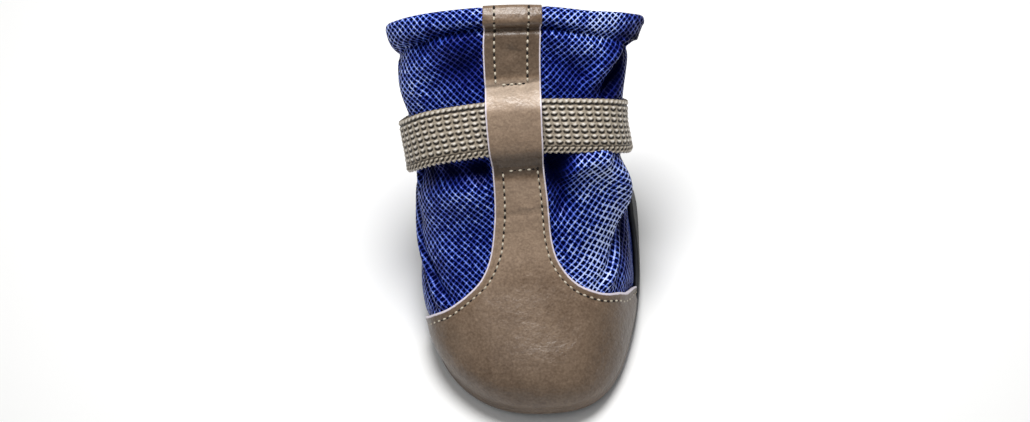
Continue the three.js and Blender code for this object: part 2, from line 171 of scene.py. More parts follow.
# %% Lengths along the cloth
RING_STEPS = 280
FRONT = 180
RING_NET = np.linspace(0, LAST, RING_STEPS + 1)
ANGLE_NET = np.linspace(-180, 180, 361)
net_points = skin_point(RING_NET[:, None], ANGLE_NET[None, :])
steps_up = np.linalg.norm(np.diff(net_points, axis=0), axis=-1)
steps_round = np.linalg.norm(np.diff(net_points, axis=1), axis=-1)
UP_NET = np.vstack([np.zeros(len(ANGLE_NET)), np.cumsum(steps_up, axis=0)])
ROUND_NET = np.hstack([np.zeros((len(RING_NET), 1)), np.cumsum(steps_round, axis=1)])
ROUND_NET -= ROUND_NET[:, [FRONT]]


def between(table, ring, angle):
    """A value of a fine net at any ring and angle. The net has one column for each degree."""
    row = np.clip(np.asarray(ring, float) / LAST * RING_STEPS, 0, RING_STEPS - 0.001)
    column = np.clip(np.asarray(angle, float) + 180, 0, 359.999)
    i, j = row.astype(int), column.astype(int)
    s, t = row - i, column - j
    low = table[i, j] * (1 - t) + table[i, j + 1] * t
    high = table[i + 1, j] * (1 - t) + table[i + 1, j + 1] * t
    return low * (1 - s) + high * s


print("round the sole", round(ROUND_NET[0, -1] - ROUND_NET[0, 0]), "mm")

# %% The mesh as it is cut
# the way up the leaning leg, along which the mesh is cut
LEG_WAY = np.array([0, 0.627, 0.779])
net_heights = net_points @ LEG_WAY
levels = np.linspace(net_heights.min(), net_heights.max(), 240)
level_rings = np.array([np.interp(levels, net_heights[:, j], RING_NET) for j in range(len(ANGLE_NET))]).T
level_points = skin_point(level_rings, ANGLE_NET[None, :])
level_lengths = np.cumsum(np.linalg.norm(np.diff(level_points, axis=1), axis=-1), axis=1)
level_lengths = np.hstack([np.zeros((len(levels), 1)), level_lengths])
level_lengths -= level_lengths[:, [FRONT]]
WEAVE_NET = np.array([
    np.interp(net_heights[:, j], levels, level_lengths[:, j]) for j in range(len(ANGLE_NET))]).T


def on_weave(ring, angle):
    """The mesh as it is cut: millimetres straight up the leg, and level round it from the front."""
    return np.stack([between(WEAVE_NET, ring, angle), between(net_heights, ring, angle)], -1)


print("mesh from", round(levels[0]), "to", round(levels[-1]), "mm up the leg")

# %% Places on the cloth
def wrapped(angle):
    """The same angle, between -180 and 180."""
    return (np.asarray(angle, float) + 180) % 360 - 180


def on_cloth(ring, angle):
    """Millimetres round the leg from the front, and up it from the sole."""
    ring, angle = np.broadcast_arrays(ring, wrapped(angle))
    return np.stack([between(ROUND_NET, ring, angle), between(UP_NET, ring, angle)], -1)


def ring_after(ring, angle, distance):
    """The ring that lies a distance up the cloth from a ring, at one angle."""
    heights = between(UP_NET, RING_NET, np.full(len(RING_NET), wrapped(angle)))
    start = np.interp(ring, RING_NET, heights)
    return np.interp(start + np.asarray(distance, float), heights, RING_NET)


def angle_after(ring, length):
    """The angle at a length round the leg from the front, on one ring."""
    lengths = between(ROUND_NET, np.full(len(ANGLE_NET), ring), ANGLE_NET)
    return np.interp(length, lengths, ANGLE_NET)


def lengths_along(line):
    """How far each point of a line lies from its start."""
    return np.concatenate([[0], np.cumsum(np.linalg.norm(np.diff(line, axis=0), axis=1))])


print("cloth up the front", round(UP_NET[-1, FRONT]), "mm, round the ankle", round(ROUND_NET[200, -1] * 2))

# %% Reading short tables
def from_table(table, key):
    """A value eased between the rows of a short table."""
    keys = [row[0] for row in table]
    i = min(max(np.searchsorted(keys, key, side="right") - 1, 0), len(table) - 2)
    share = smoothstep(key, keys[i], keys[i + 1])
    return table[i][1] + (table[i + 1][1] - table[i][1]) * share


def through_table(table, key):
    """A value on one smooth curve through the rows of a short table."""
    key = min(max(key, table[0][0]), table[-1][0])
    i = 0
    while i < len(table) - 2 and table[i + 1][0] <= key:
        i += 1
    span = table[i + 1][0] - table[i][0]

    def slope(k):
        low, high = table[max(k - 1, 0)], table[min(k + 1, len(table) - 1)]
        return (high[1] - low[1]) / (high[0] - low[0]) * span

    return smooth_between((key - table[i][0]) / span, table[i][1], table[i + 1][1], slope(i), slope(i + 1))


print("eased halfway", float(from_table([(0, 0), (2, 4)], 1)))

# %% [markdown]
# ## Where the pieces lie
# The leather's edges, the strap and the sole's edge are short tables of a place and a value, the same as
# in the CAD part, so that every visible piece stays where its solid is.

# %% The pieces' own lines
# the leather's half width as (ring, angle)
CAP_LEFT = [(0, 70), (2, 65), (3, 59.5), (4, 50), (5, 36.2), (5.5, 28.5), (6, 21.5), (6.6, 17),
            (7.4, 15), (9, 14), (10, 13.5), (12, 13), (14, 12)]
CAP_RIGHT = [(0, 78), (1, 74.5), (2, 70.3), (3, 63.9), (4, 55), (5, 39.5), (5.5, 30.5), (6, 23.5),
             (6.6, 17.5), (7.4, 14.5), (9, 13.5), (10, 15), (12, 15), (14, 14)]
# the height of the sole's edge as (angle, share of its full height)
FOXING = [(-180, 0.79), (-140, 0.57), (-110, 0.36), (-80, 0.19), (-50, 0.065), (0, 0.045), (50, 0.065),
          (75, 0.23), (92, 0.57), (104, 0.93), (125, 1), (150, 0.93), (180, 0.79)]
# the strap's middle as (angle, ring), and how slack it hangs as (angle, share)
STRAP_LINE = [(-180, 9.2), (-120, 9.36), (-85, 9.58), (-45, 10.15), (0, 10.33), (45, 10.15), (90, 9.7),
              (120, 9.45), (180, 9.2)]
STRAP_SLACK = [(-180, 0.1), (-120, 0.5), (-85, 1), (-45, 0.3), (0, 0), (120, 0), (180, 0.1)]
STRAP_GAP = 2.2
FOXING_HEIGHT = 14
MESH_WALL = 2
SKIN_GAP = 0.4
CAP_THICKNESS = 1
WEBBING_WIDTH = 20
WEBBING_THICKNESS = 1.6
HEM_SWELL = 1.3
HEM_TURN_IN = 0.6
HEM_DEPTH = 8.5
RIM_WALL = MESH_WALL + HEM_SWELL + HEM_TURN_IN
rim_ring = float(ring_after(LAST, 0, -RIM_WALL / 2))
crease_ring = float(ring_after(LAST, 0, -HEM_DEPTH))


def cap_edge(ring, side):
    """The angle of the leather's left edge, for side -1, or of its right one, for 1."""
    return side * through_table(CAP_RIGHT if side > 0 else CAP_LEFT, ring)


def strap_ring(angle):
    """The ring that the strap's middle lies on."""
    return through_table(STRAP_LINE, float(wrapped(angle)))


def strap_stand_off(angle):
    """How far the strap's inner face stands off the last."""
    return SKIN_GAP + STRAP_GAP * from_table(STRAP_SLACK, float(wrapped(angle)))


def foxing_top(angle, above=0):
    """The ring at the top of the sole's edge, or a little above it."""
    height = FOXING_HEIGHT * through_table(FOXING, float(wrapped(angle)))
    return float(ring_after(0, angle, height + above))


print("rim ring", round(rim_ring, 2), "crease ring", round(crease_ring, 2))

# %% [markdown]
# ## Folds, placed one by one
# The mesh is soft: it puffs out where the strap pinches it and sinks in beside the stem. Cloth simulation
# would need a foot inside, so each main fold is drawn instead, as a line of rings and angles with a width
# and a height in millimetres. Under the strap and the leather the cloth is held flat.

# %% Folds of the mesh
FOLDS = [
    # height, width, points as (ring, angle)
    (4.2, 3.4, [(8.8, 25), (9.0, 31), (9.08, 39), (8.95, 48), (8.6, 55), (8.1, 60), (7.2, 68)]),
    (1.5, 12.0, [(8.3, 38), (7.4, 48)]),
    (-4.0, 3.4, [(9.2, 56), (8.9, 66), (8.2, 76), (7.4, 84)]),
    (-3.6, 8.0, [(7.6, 84), (7.0, 87), (6.3, 90), (5.8, 93)]),
    (0.8, 7.0, [(3.6, 71), (2.6, 74), (1.4, 77)]),
    (-4.6, 3.8, [(9.25, 16), (8.9, 19), (8.4, 21), (7.9, 22)]),
    (-3.8, 3.2, [(9.1, -18), (9.05, -35), (8.95, -55), (8.7, -76)]),
    (1.6, 6.0, [(8.3, -24), (8.2, -45), (7.9, -68)]),
    (-1.5, 5.0, [(7.2, -78), (6.2, -84), (5.0, -90)]),
    (1.4, 5.0, [(12.8, 18), (12.4, 38), (11.9, 60)]),
    (-2.0, 4.0, [(12.0, 17), (11.6, 26), (11.4, 38)]),
    (-3.4, 4.5, [(12.6, 92), (12.1, 76), (11.6, 64), (11.2, 56)]),
    (1.3, 4.0, [(11.3, 42), (11.6, 52), (12.0, 64)]),
    (1.4, 5.0, [(11.3, -78), (11.6, -56), (12.4, -30)]),
    (-1.8, 4.5, [(11.3, -46), (11.6, -30), (11.8, -16)]),
    (-1.7, 3.5, [(12.1, -86), (12.4, -66), (12.6, -46)]),
    (-1.4, 3.0, [(8.3, 128), (8.1, 150), (8.0, 180)]),
    (-1.4, 3.0, [(8.0, -180), (8.1, -150), (8.4, -120)]),
    (1.2, 3.4, [(7.3, 120), (7.1, 150), (7.0, 180)]),
    (1.2, 3.4, [(7.0, -180), (7.1, -150), (7.4, -118)]),
    (-1.3, 3.0, [(6.2, 112), (5.9, 145), (5.8, 180)]),
    (-1.3, 3.0, [(5.8, -180), (5.9, -145), (6.3, -110)]),
    (-1.4, 4.5, [(11.2, 150), (12.2, 158), (12.9, 160)]),
    (-1.4, 4.5, [(11.2, -146), (12.2, -156), (12.9, -160)]),
    (-1.2, 4.5, [(5.4, -55), (4.5, -76), (3.6, -92)]),
    (1.0, 4.5, [(6.4, -42), (5.7, -66), (5.0, -90)]),
    (-1.2, 4.5, [(6.4, 36), (5.6, 58), (5.0, 80)]),
]
print("folds", len(FOLDS), "deepest", min(fold[0] for fold in FOLDS), "mm")

# %% Where the mesh is held flat
def distance_to(points, line):
    """Shortest distances from points to a line of points, in the same units."""
    nearest = np.full(points.shape[:-1], np.inf)
    for start, end in zip(line[:-1], line[1:]):
        step = end - start
        share = np.clip(((points - start) @ step) / max(step @ step, 1e-9), 0, 1)
        gap = np.linalg.norm(points - (start + share[..., None] * step), axis=-1)
        nearest = np.minimum(nearest, gap)
    return nearest


edge_rings = np.linspace(0.05, 13.2, 90)
EDGE_LINES = [
    on_cloth(edge_rings, np.array([cap_edge(ring, side) for ring in edge_rings])) for side in (-1, 1)
]
STRAP_NET = np.array([strap_ring(angle) for angle in ANGLE_NET])
LEFT_NET, RIGHT_NET = (np.array([cap_edge(ring, side) for ring in RING_NET]) for side in (-1, 1))
FOXING_NET = np.array([foxing_top(angle) for angle in ANGLE_NET])


def from_cap_edge(cloth):
    """Millimetres from a place on the cloth to the leather's nearer edge."""
    return np.minimum(distance_to(cloth, EDGE_LINES[0]), distance_to(cloth, EDGE_LINES[1]))


# where a piece stops holding the mesh: millimetres from the strap's middle and from the leather's edge
STRAP_HOLDS = (8.6, 10.4)
LEATHER_HOLDS = (0.2, 2.6)


def held_flat(ring, angle, cloth):
    """1 where the strap, the leather or the sole's edge holds the mesh, easing to 0 beside them."""
    middle = np.interp(angle, ANGLE_NET, STRAP_NET)
    from_strap = np.abs(cloth[..., 1] - between(UP_NET, middle, angle))
    strap = 1 - smoothstep(from_strap, *STRAP_HOLDS)
    inside = (angle > np.interp(ring, RING_NET, LEFT_NET)) & (angle < np.interp(ring, RING_NET, RIGHT_NET))
    leather = np.where(inside, 1, 1 - smoothstep(from_cap_edge(cloth), *LEATHER_HOLDS))
    above_edge = ring - np.interp(angle, ANGLE_NET, FOXING_NET)
    sole = 1 - smoothstep(above_edge, 0, 1)
    hem = smoothstep(ring, crease_ring - 0.3, crease_ring)
    return np.maximum.reduce([strap, leather, sole, hem])


print("leather's edges", [round(lengths_along(line)[-1]) for line in EDGE_LINES], "mm long")

# %% How far the mesh stands out
# the mesh's small swells where it is loose, and how far it is pressed in where it is held, in millimetres
SLACK = 0.5
PRESS = 0.15


def folds(ring, angle):
    """How far the mesh stands out from the last, in millimetres."""
    ring, angle = np.broadcast_arrays(np.asarray(ring, float), wrapped(angle))
    cloth = on_cloth(ring, angle)
    relief = np.zeros(ring.shape)
    for height, width, line in FOLDS:
        path = on_cloth(np.array([p[0] for p in line], float), np.array([p[1] for p in line], float))
        relief += height * np.exp(-((distance_to(cloth, path) / width) ** 2))
    across, up = cloth[..., 0], cloth[..., 1]
    slack = SLACK * np.sin(across / 7.3 + up / 11) * np.sin(up / 8.7 - across / 17)
    held = held_flat(ring, angle, cloth)
    return (relief + slack) * (1 - held) - PRESS * held


print("the large fold's ridge stands out", round(float(folds(9.0, 42)), 1), "mm")

# %% Painted shade and highlight on the mesh
PAINTED_LIGHT_SPOTS = [
    # amount (painted shade below 0, painted highlight above), width, ring, angle
    (-0.65, 17, 12.0, 74),
    (-0.35, 13, 11.6, 34),
    (0.6, 9, 8.7, 42),
    (1.0, 17, 5.9, 46),
    (-0.5, 9, 4.4, 82),
    (-1.1, 7, 9.1, 20),
    (-0.7, 5, 9.1, -22),
    (-0.6, 5, 9.1, -40),
    (-0.5, 5, 9.0, -60),
    (-0.6, 7, 8.6, 72),
    (0.25, 12, 12.0, -66),
    (-0.5, 13, 11.9, -25),
    (-0.15, 20, 6.0, -40),
    (0.2, 10, 2.4, -66),
    (-0.3, 8, 12.9, 80),
    (0.75, 12, 13.5, 46),
    (-0.4, 6, 12.95, 60),
]


def painted_light(ring, angle):
    """How light the mesh is painted: painted shade in the troughs and under the strap, painted highlight on
    the ridges and the hem's top.
    """
    cloth = on_cloth(ring, angle)
    light = 0.9 + 0.1 * folds(ring, angle) + 0.25 * smoothstep(ring, crease_ring + 0.08, crease_ring + 0.4)
    for amount, width, at_ring, at_angle in PAINTED_LIGHT_SPOTS:
        gap = np.linalg.norm(cloth - on_cloth(at_ring, at_angle), axis=-1)
        light += amount * np.exp(-((gap / width) ** 2))
    return np.clip(light, 0.05, 1.8)


print("shades", len(PAINTED_LIGHT_SPOTS), "on the large fold", round(float(painted_light(9.0, 42)), 2))

# %% [markdown]
# ## Helpers for sheets
# Cloth starts as a flat grid, which is how cloth is cut, and each of its points is then carried to its
# place. The grid keeps the cloth's own measure as a UV map in millimetres, which the weaves read later.

# %% A sheet from a grid
def sheet(columns, rows, place, cloth, wrap=False, marks=None, second_from=None):
    """A grid whose points go where place(column, row) says. cloth(column, row) is its UV map.

    marks are numbers that each point carries, by name. Rows after second_from take the second material.
    """
    bm = bmesh.new()
    bmesh.ops.create_grid(bm, x_segments=columns, y_segments=rows, size=0.5)
    bm.verts.ensure_lookup_table()
    flat = np.array([v.co[:2] for v in bm.verts])
    column = np.rint((flat[:, 0] + 0.5) * columns).astype(int)
    row = np.rint((flat[:, 1] + 0.5) * rows).astype(int)
    points = place(column, row) * MM
    measure = cloth(column, row)
    for vert, point in zip(bm.verts, points):
        vert.co = point
    for name, value_at in (marks or {}).items():
        layer = bm.verts.layers.float.new(name)
        for vert, value in zip(bm.verts, value_at(column, row)):
            vert[layer] = value
    uv = bm.loops.layers.uv.new("cloth")
    for face in bm.faces:
        face.smooth = True
        if second_from is not None and min(row[vert.index] for vert in face.verts) >= second_from:
            face.material_index = 1
        for loop in face.loops:
            loop[uv].uv = measure[loop.vert.index]
    if wrap:
        bmesh.ops.remove_doubles(bm, verts=bm.verts, dist=1e-6)
    return bm


def finish_piece(name, bm, materials, slot, *nodes):
    """Makes a sheet into a piece that rides on the root, in place of the CAD nodes named. slot is not used.
    """
    mesh = bpy.data.meshes.new(name)
    bm.to_mesh(mesh)
    bm.free()
    piece = bpy.data.objects.new(name, mesh)
    bpy.context.collection.objects.link(piece)
    for material in materials:
        mesh.materials.append(material)
    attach(piece, "root")
    if nodes:
        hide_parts(*nodes)
    print(name, len(mesh.vertices), "points", len(mesh.polygons), "faces")
    return piece


def thicken(piece, thickness):
    """Gives a sheet its thickness in millimetres, inwards from the face that was drawn."""
    solidify = piece.modifiers.new("thickness", "SOLIDIFY")
    solidify.thickness = thickness * MM
    solidify.offset = -1
    return solidify


def turn_outwards(bm, ring, angle, point):
    """Turns an open sheet round if the face nearest a point of the skin looks inwards."""
    target = Vector(point * MM)
    bm.normal_update()
    nearest = min(bm.faces, key=lambda face: (face.calc_center_median() - target).length)
    outwards = Vector(skin_normal(ring, angle))
    if nearest.normal.dot(outwards) < 0:
        bmesh.ops.reverse_faces(bm, faces=bm.faces)


# %% [markdown]
# ## Materials: helpers
# Colours are picked as sRGB hex values, as a paint chart gives them, and turned to linear light by one
# function. One more adds a node with its settings and links, so each material reads as a short list.

# %% Colour and node helpers
def linear(hex_colour):
    """A paint chart's hex colour as linear light."""
    parts = [int(hex_colour[i:i + 2], 16) / 255 for i in (1, 3, 5)]
    return tuple(c / 12.92 if c <= 0.04045 else ((c + 0.055) / 1.055) ** 2.4 for c in parts) + (1.0,)


def add(tree, kind, *inputs, stops=(), **settings):
    """One shader node. inputs fill its sockets in order, each with a value or an output, and None skips one.
    settings are its own properties, or its sockets by name. stops are a colour ramp's. Gives its outputs."""
    node = tree.nodes.new("ShaderNode" + kind)
    sockets = [(node.inputs[i], value) for i, value in enumerate(inputs) if value is not None]
    for key, value in settings.items():
        if hasattr(node, key):
            setattr(node, key, value)
        else:
            socket = next(s for s in node.inputs if key in (s.identifier, s.name.replace(" ", "_")))
            sockets.append((socket, value))
    for socket, value in sockets:
        if isinstance(value, bpy.types.NodeSocket):
            tree.links.new(value, socket)
        else:
            socket.default_value = value
    for i, (position, hex_colour) in enumerate(stops):
        elements = node.color_ramp.elements
        element = elements[i] if i < len(elements) else elements.new(position)
        element.position = position
        element.color = linear(hex_colour)
    return node.outputs


def new_material(name, **shader_values):
    """A material and its shader, with constants on the shader's own sockets."""
    material = bpy.data.materials.new(name)
    material.use_nodes = True
    tree = material.node_tree
    shader = tree.nodes["Principled BSDF"]
    for key, value in shader_values.items():
        shader.inputs[key.replace("_", " ")].default_value = value
    return material, tree, shader


print("linear check", [round(c, 3) for c in linear("#7c695a")])

# %% [markdown]
# ## Air mesh
# Polyester air mesh is a warp knit: shiny blue filaments round open holes that show the dark backing. Its
# threads cross on the slant, 1.7 and 1.8 mm apart, mirrored at the front. They are counted along the
# cloth's own measure, so the net follows every fold, and a little sway and a tone of its own for each hole
# keep it from looking printed. Its brightest sparks are painted glints, and the piece's painted light
# attribute paints shade into the troughs and under the strap and a highlight onto the ridges.

# %% Air mesh material
NET_TURN = math.radians(40)
NET_PITCH = (1.7, 1.8)
# where a thread is full and where it has ended, as shares of the pitch from its middle
THREAD_EDGE = (0.09, 0.23)


def mesh_fabric(name, dark, middle, light, painted_glint):
    """The net in four tones, from the backing in its holes to the painted glints on its filaments."""
    material, tree, shader = new_material(
        name, Roughness=0.4, Sheen_Weight=0.03, Sheen_Tint=linear("#8ba0ea"))
    measure = add(tree, "UVMap", uv_map="cloth")["UV"]
    sway = add(tree, "TexNoise", measure, Scale=0.09, Detail=1.0)["Color"]
    snag = add(tree, "TexNoise", measure, Scale=0.7, Detail=1.0)["Color"]
    swayed = add(tree, "VectorMath", sway, (1.6, 1.6, 0), measure, operation="MULTIPLY_ADD")[0]
    snagged = add(tree, "VectorMath", snag, (0.4, 0.4, 0), swayed, operation="MULTIPLY_ADD")[0]
    place = add(tree, "SeparateXYZ", snagged)
    across = add(tree, "Math", place["X"], operation="ABSOLUTE")[0]
    threads = []
    numbers = []
    turned = (math.cos(NET_TURN), math.sin(NET_TURN))
    directions = (turned, (-turned[1], turned[0]))
    eased = "SMOOTHSTEP"
    for pitch, (part_x, part_y) in zip(NET_PITCH, directions):
        rise = add(tree, "Math", place["Y"], part_y / pitch, operation="MULTIPLY")[0]
        count = add(tree, "Math", across, part_x / pitch, rise, operation="MULTIPLY_ADD")[0]
        away = add(tree, "Math", count, 0.5, operation="PINGPONG")[0]
        threads.append(add(tree, "MapRange", away, *THREAD_EDGE, 1.0, 0.0, interpolation_type=eased)[0])
        numbers.append(add(tree, "Math", count, operation="ROUND")[0])
    weft = add(tree, "Math", threads[0], 0.75, operation="MULTIPLY")[0]
    thread = add(tree, "Math", weft, threads[1], operation="MAXIMUM")[0]
    knot = add(tree, "Math", threads[0], threads[1], operation="MULTIPLY")[0]
    cell = add(tree, "CombineXYZ", numbers[0], numbers[1], 0.0)[0]
    own = add(tree, "TexWhiteNoise", cell, noise_dimensions="2D")[0]
    filament = add(tree, "TexNoise", measure, Scale=2.1, Detail=3.0, Roughness=0.75)[0]
    # how brightly each bit of thread is painted: painted glints along its filaments, and its hole's own tone
    lustre = add(tree, "Math", filament, 1.5, -0.42, operation="MULTIPLY_ADD")[0]
    lustre = add(tree, "Math", own, 0.34, lustre, operation="MULTIPLY_ADD")[0]
    lit = add(tree, "Math", thread, lustre, operation="MULTIPLY")[0]
    lit = add(tree, "Math", knot, 0.2, lit, operation="MULTIPLY_ADD")[0]
    # painted shade in the troughs and painted highlight on the ridges, from the piece's attribute
    painted_light_factor = add(tree, "Attribute", attribute_name="painted_light")["Fac"]
    lit = add(tree, "Math", lit, painted_light_factor, operation="MULTIPLY")[0]
    colour = add(tree, "ValToRGB", lit, stops=[(0.05, dark), (0.3, middle), (0.58, light), (0.85, painted_glint)])[0]
    tree.links.new(colour, shader.inputs["Base Color"])
    gloss = add(tree, "Math", lit, 0.8, operation="MULTIPLY", use_clamp=True)[0]
    tree.links.new(gloss, shader.inputs["Specular IOR Level"])
    net = add(tree, "Bump", 0.9, 0.4 * MM, Height=thread)[0]
    fuzz = add(tree, "Bump", 0.5, 0.2 * MM, Height=filament, Normal=net)[0]
    tree.links.new(fuzz, shader.inputs["Normal"])
    return material


air_mesh = mesh_fabric("air_mesh", "#000328", "#0f2082", "#4f72dd", "#bfd0fb")
mesh_lining = mesh_fabric("mesh_lining", "#01030f", "#0d1440", "#1d2860", "#3c4a80")
print("air mesh, a thread every", NET_PITCH, "mm")

# %% [markdown]
# ## Coated leather
# The toe cap is polyurethane-coated leather cloth: a satin taupe skin with a faint pebble, pressed flat
# by the topstitching, and a pale cut edge where the backing shows. The pebble is a small Voronoi pattern
# with soft creases over it. The piece carries two measures of its own: its distance from the cut edge,
# which the pale line follows, and how much painted light and shade it takes. Where the painted highlight
# is strong the colour turns pale and a little grey, as a painted satin sheen.

# %% Coated leather material
def coated_leather():
    """Mottled leather with a pale cut edge, painted shade and sheen, and a pebbled face."""
    material, tree, shader = new_material("coated_leather", IOR=1.5)
    place = add(tree, "TexCoord")["Object"]
    tone = add(tree, "TexNoise", place, Scale=48.0, Detail=4.0, Roughness=0.6)[0]
    speck = add(tree, "TexNoise", place, Scale=1100.0, Detail=2.0)[0]
    blotch = add(tree, "TexNoise", place, Scale=260.0, Detail=3.0)[0]
    mottle = add(tree, "Math", tone, 0.46, operation="MULTIPLY")[0]
    mottle = add(tree, "Math", blotch, 0.16, mottle, operation="MULTIPLY_ADD")[0]
    shade = add(tree, "Math", speck, 0.46, mottle, operation="MULTIPLY_ADD")[0]
    skin = add(tree, "ValToRGB", shade, stops=[(0.36, "#5d4938"), (0.54, "#786350"), (0.74, "#917b66")])[0]
    edge = add(tree, "Attribute", attribute_name="edge_mm")["Fac"]
    frayed = add(tree, "Math", speck, 0.3, edge, operation="MULTIPLY_ADD")[0]
    pale = add(tree, "MapRange", frayed, 0.5, 0.78, 1.0, 0.0, interpolation_type="SMOOTHSTEP")[0]
    # painted shade and highlight scale the skin, and a strong painted highlight turns towards grey as a
    # painted sheen
    painted_light_factor = add(tree, "Attribute", attribute_name="painted_light")["Fac"]
    skin_with_painted_light = add(tree, "VectorMath", skin, Scale=painted_light_factor, operation="SCALE")[0]
    painted_sheen = add(tree, "MapRange", painted_light_factor, 1.0, 2.4, 0.0, 0.6)[0]
    skin_with_painted_light = add(tree, "Mix", painted_sheen, A_Color=skin_with_painted_light, B_Color=linear("#a99d90"), data_type="RGBA")["Result"]
    base = add(tree, "Mix", pale, A_Color=skin_with_painted_light, B_Color=linear("#d9d0da"), data_type="RGBA")["Result"]
    tree.links.new(base, shader.inputs["Base Color"])
    pebble = add(tree, "TexVoronoi", place, Scale=1150.0, feature="SMOOTH_F1")["Distance"]
    crease = add(tree, "TexNoise", place, Scale=150.0, Detail=5.0, Roughness=0.6)[0]
    grain = add(tree, "Bump", 0.25, 0.12 * MM, Height=pebble)[0]
    soft = add(tree, "Bump", 0.7, 1.1 * MM, Height=crease, Normal=grain)[0]
    tree.links.new(soft, shader.inputs["Normal"])
    rough = add(tree, "Math", tone, 0.2, 0.28, operation="MULTIPLY_ADD")[0]
    tree.links.new(rough, shader.inputs["Roughness"])
    return material


def fine_grained(name, dark, light, grain_mm, bump_mm, **shader_values):
    """Thread, tape, felt and rubber: fine grain of a real size, with broad changes of tone over it."""
    material, tree, shader = new_material(name, **shader_values)
    place = add(tree, "TexCoord")["Object"]
    grain = add(tree, "TexNoise", place, Scale=0.5 / (grain_mm * MM), Detail=4.0, Roughness=0.65)[0]
    broad = add(tree, "TexNoise", place, Scale=0.04 / (grain_mm * MM), Detail=2.0)[0]
    tone = add(tree, "Math", grain, 0.6, operation="MULTIPLY")[0]
    shade = add(tree, "Math", broad, 0.4, tone, operation="MULTIPLY_ADD")[0]
    colour = add(tree, "ValToRGB", shade, stops=[(0.3, dark), (0.7, light)])[0]
    tree.links.new(colour, shader.inputs["Base Color"])
    tree.links.new(add(tree, "Bump", 0.8, bump_mm * MM, Height=grain)[0], shader.inputs["Normal"])
    return material


leather = coated_leather()
cut_edge = fine_grained("leather_backing", "#b3aab2", "#e4dde4", 0.4, 0.1, Roughness=0.9)
print("leather made")

# %% [markdown]
# ## Webbing, thread, tape and rubber
# The webbing's knit is real relief, and its material paints shade into the gaps and a highlight onto the
# nubs: it reads the height that the piece carries. Thread is a glossy cream twist. Hook tape is stiff and
# combed, loop tape is brushed and fuzzy, and the sole is a matt rubber coat on cloth. The hooks are drawn
# 1 mm apart, coarser than the real ones, so that they show.

# %% The other materials
def knitted_webbing():
    """Cream yarn, with painted shade in the knit's gaps and a painted highlight on its nubs."""
    material, tree, shader = new_material("knitted_webbing", Roughness=0.6, Sheen_Weight=0.1)
    measure = add(tree, "UVMap", uv_map="cloth")["UV"]
    height = add(tree, "Attribute", attribute_name="pile")["Fac"]
    yarn = add(tree, "TexNoise", measure, Scale=1.1, Detail=4.0, Roughness=0.85)[0]
    lowered = add(tree, "Math", height, 0.5, operation="SUBTRACT")[0]
    shade = add(tree, "Math", yarn, 1.0, lowered, operation="MULTIPLY_ADD")[0]
    # painted shade in the gaps, up to a painted highlight on the nubs' tops
    stops = [(0.1, "#1c150e"), (0.32, "#6b5f50"), (0.6, "#b1a593"), (0.95, "#f1ebe2")]
    colour = add(tree, "ValToRGB", shade, stops=stops)[0]
    tree.links.new(colour, shader.inputs["Base Color"])
    tree.links.new(add(tree, "Bump", 0.6, 0.3 * MM, Height=yarn)[0], shader.inputs["Normal"])
    return material


def hook_tape():
    """Stiff tape with a hook in each small cell."""
    material, tree, shader = new_material("hook_tape", Roughness=0.45)
    measure = add(tree, "UVMap", uv_map="cloth")["UV"]
    combs = add(tree, "TexVoronoi", measure, Scale=0.95, Randomness=0.15, feature="F1")["Distance"]
    colour = add(tree, "ValToRGB", combs, stops=[(0.1, "#8f877b"), (0.45, "#6b655c"), (0.8, "#423e38")])[0]
    tree.links.new(colour, shader.inputs["Base Color"])
    tree.links.new(add(tree, "Bump", 0.7, -0.4 * MM, Height=combs)[0], shader.inputs["Normal"])
    return material


webbing_knit = knitted_webbing()
tape_hooks = hook_tape()
tape_loops = fine_grained("loop_tape", "#2c2823", "#4d473f", 0.7, 0.5, Roughness=0.9)
thread_cream = fine_grained("waxed_thread", "#8f836f", "#d8cfbd", 0.2, 0.1, Roughness=0.45)
needle_hole = fine_grained("needle_hole", "#0d0805", "#1d130c", 0.5, 0.1, Roughness=0.9)
grip_rubber = fine_grained("grip_rubber", "#08090c", "#1a1c23", 0.8, 0.35, Roughness=0.6)
lining_felt = fine_grained("lining_felt", "#14161d", "#2c2f3a", 0.6, 0.5, Roughness=0.95)
print("materials", len(bpy.data.materials))

# %% [markdown]
# ## The mesh upper
# The bootie is one sheet that goes up the outside, rolls over as the hem and comes down the inside. A grid
# that wraps round the leg makes it in one go: its rows follow that path, so the hem is a real roll with a
# sewn crease under it. The inside follows the folds too, except the tops of the highest ones.

# %% The rolled hem
# how full the roll is as (angle, share), and how its rim waves as (angle, millimetres)
HEM_FULLNESS = [(-180, 0), (-130, 0.5), (-90, 0.9), (-60, 0.4), (-15, 0),
                (15, 0), (50, 0.5), (88, 1.2), (130, 0.5), (180, 0)]
HEM_WAVE = [(-180, 0), (-90, -0.2), (-50, 0.4), (-15, 0),
            (15, 0), (36, -1.1), (62, 0.7), (85, 0.9), (110, 0.2), (180, 0)]
FULLNESS_NET = np.array([from_table(HEM_FULLNESS, angle) for angle in ANGLE_NET])
WAVE_NET = np.array([from_table(HEM_WAVE, angle) for angle in ANGLE_NET])


def below_rim(ring):
    """Millimetres of cloth from a ring up to the rim."""
    return UP_NET[-1, FRONT] - between(UP_NET, ring, np.zeros(np.shape(ring)))


def hem_profile(below, full=0):
    """Outer offset of the rolled hem, by distance below the rim: a full roll above a sewn crease.

    The belly lies 1 to 7 mm below the rim, and the roll's lower side turns in from 3.4 to 7.6 mm.
    """
    depth = below / (1 + 0.65 * full)
    belly = (0.8 - 0.5 * full) * np.sin(np.clip((7 - depth) / 6, 0, 1) * math.pi)
    rounded = np.sqrt(np.clip(1 - (np.maximum(depth - 3.4, 0) / 4.2) ** 2, 0, 1))
    return (HEM_SWELL + belly) * rounded + (1 - 0.5 * full) * hem_crease(depth)


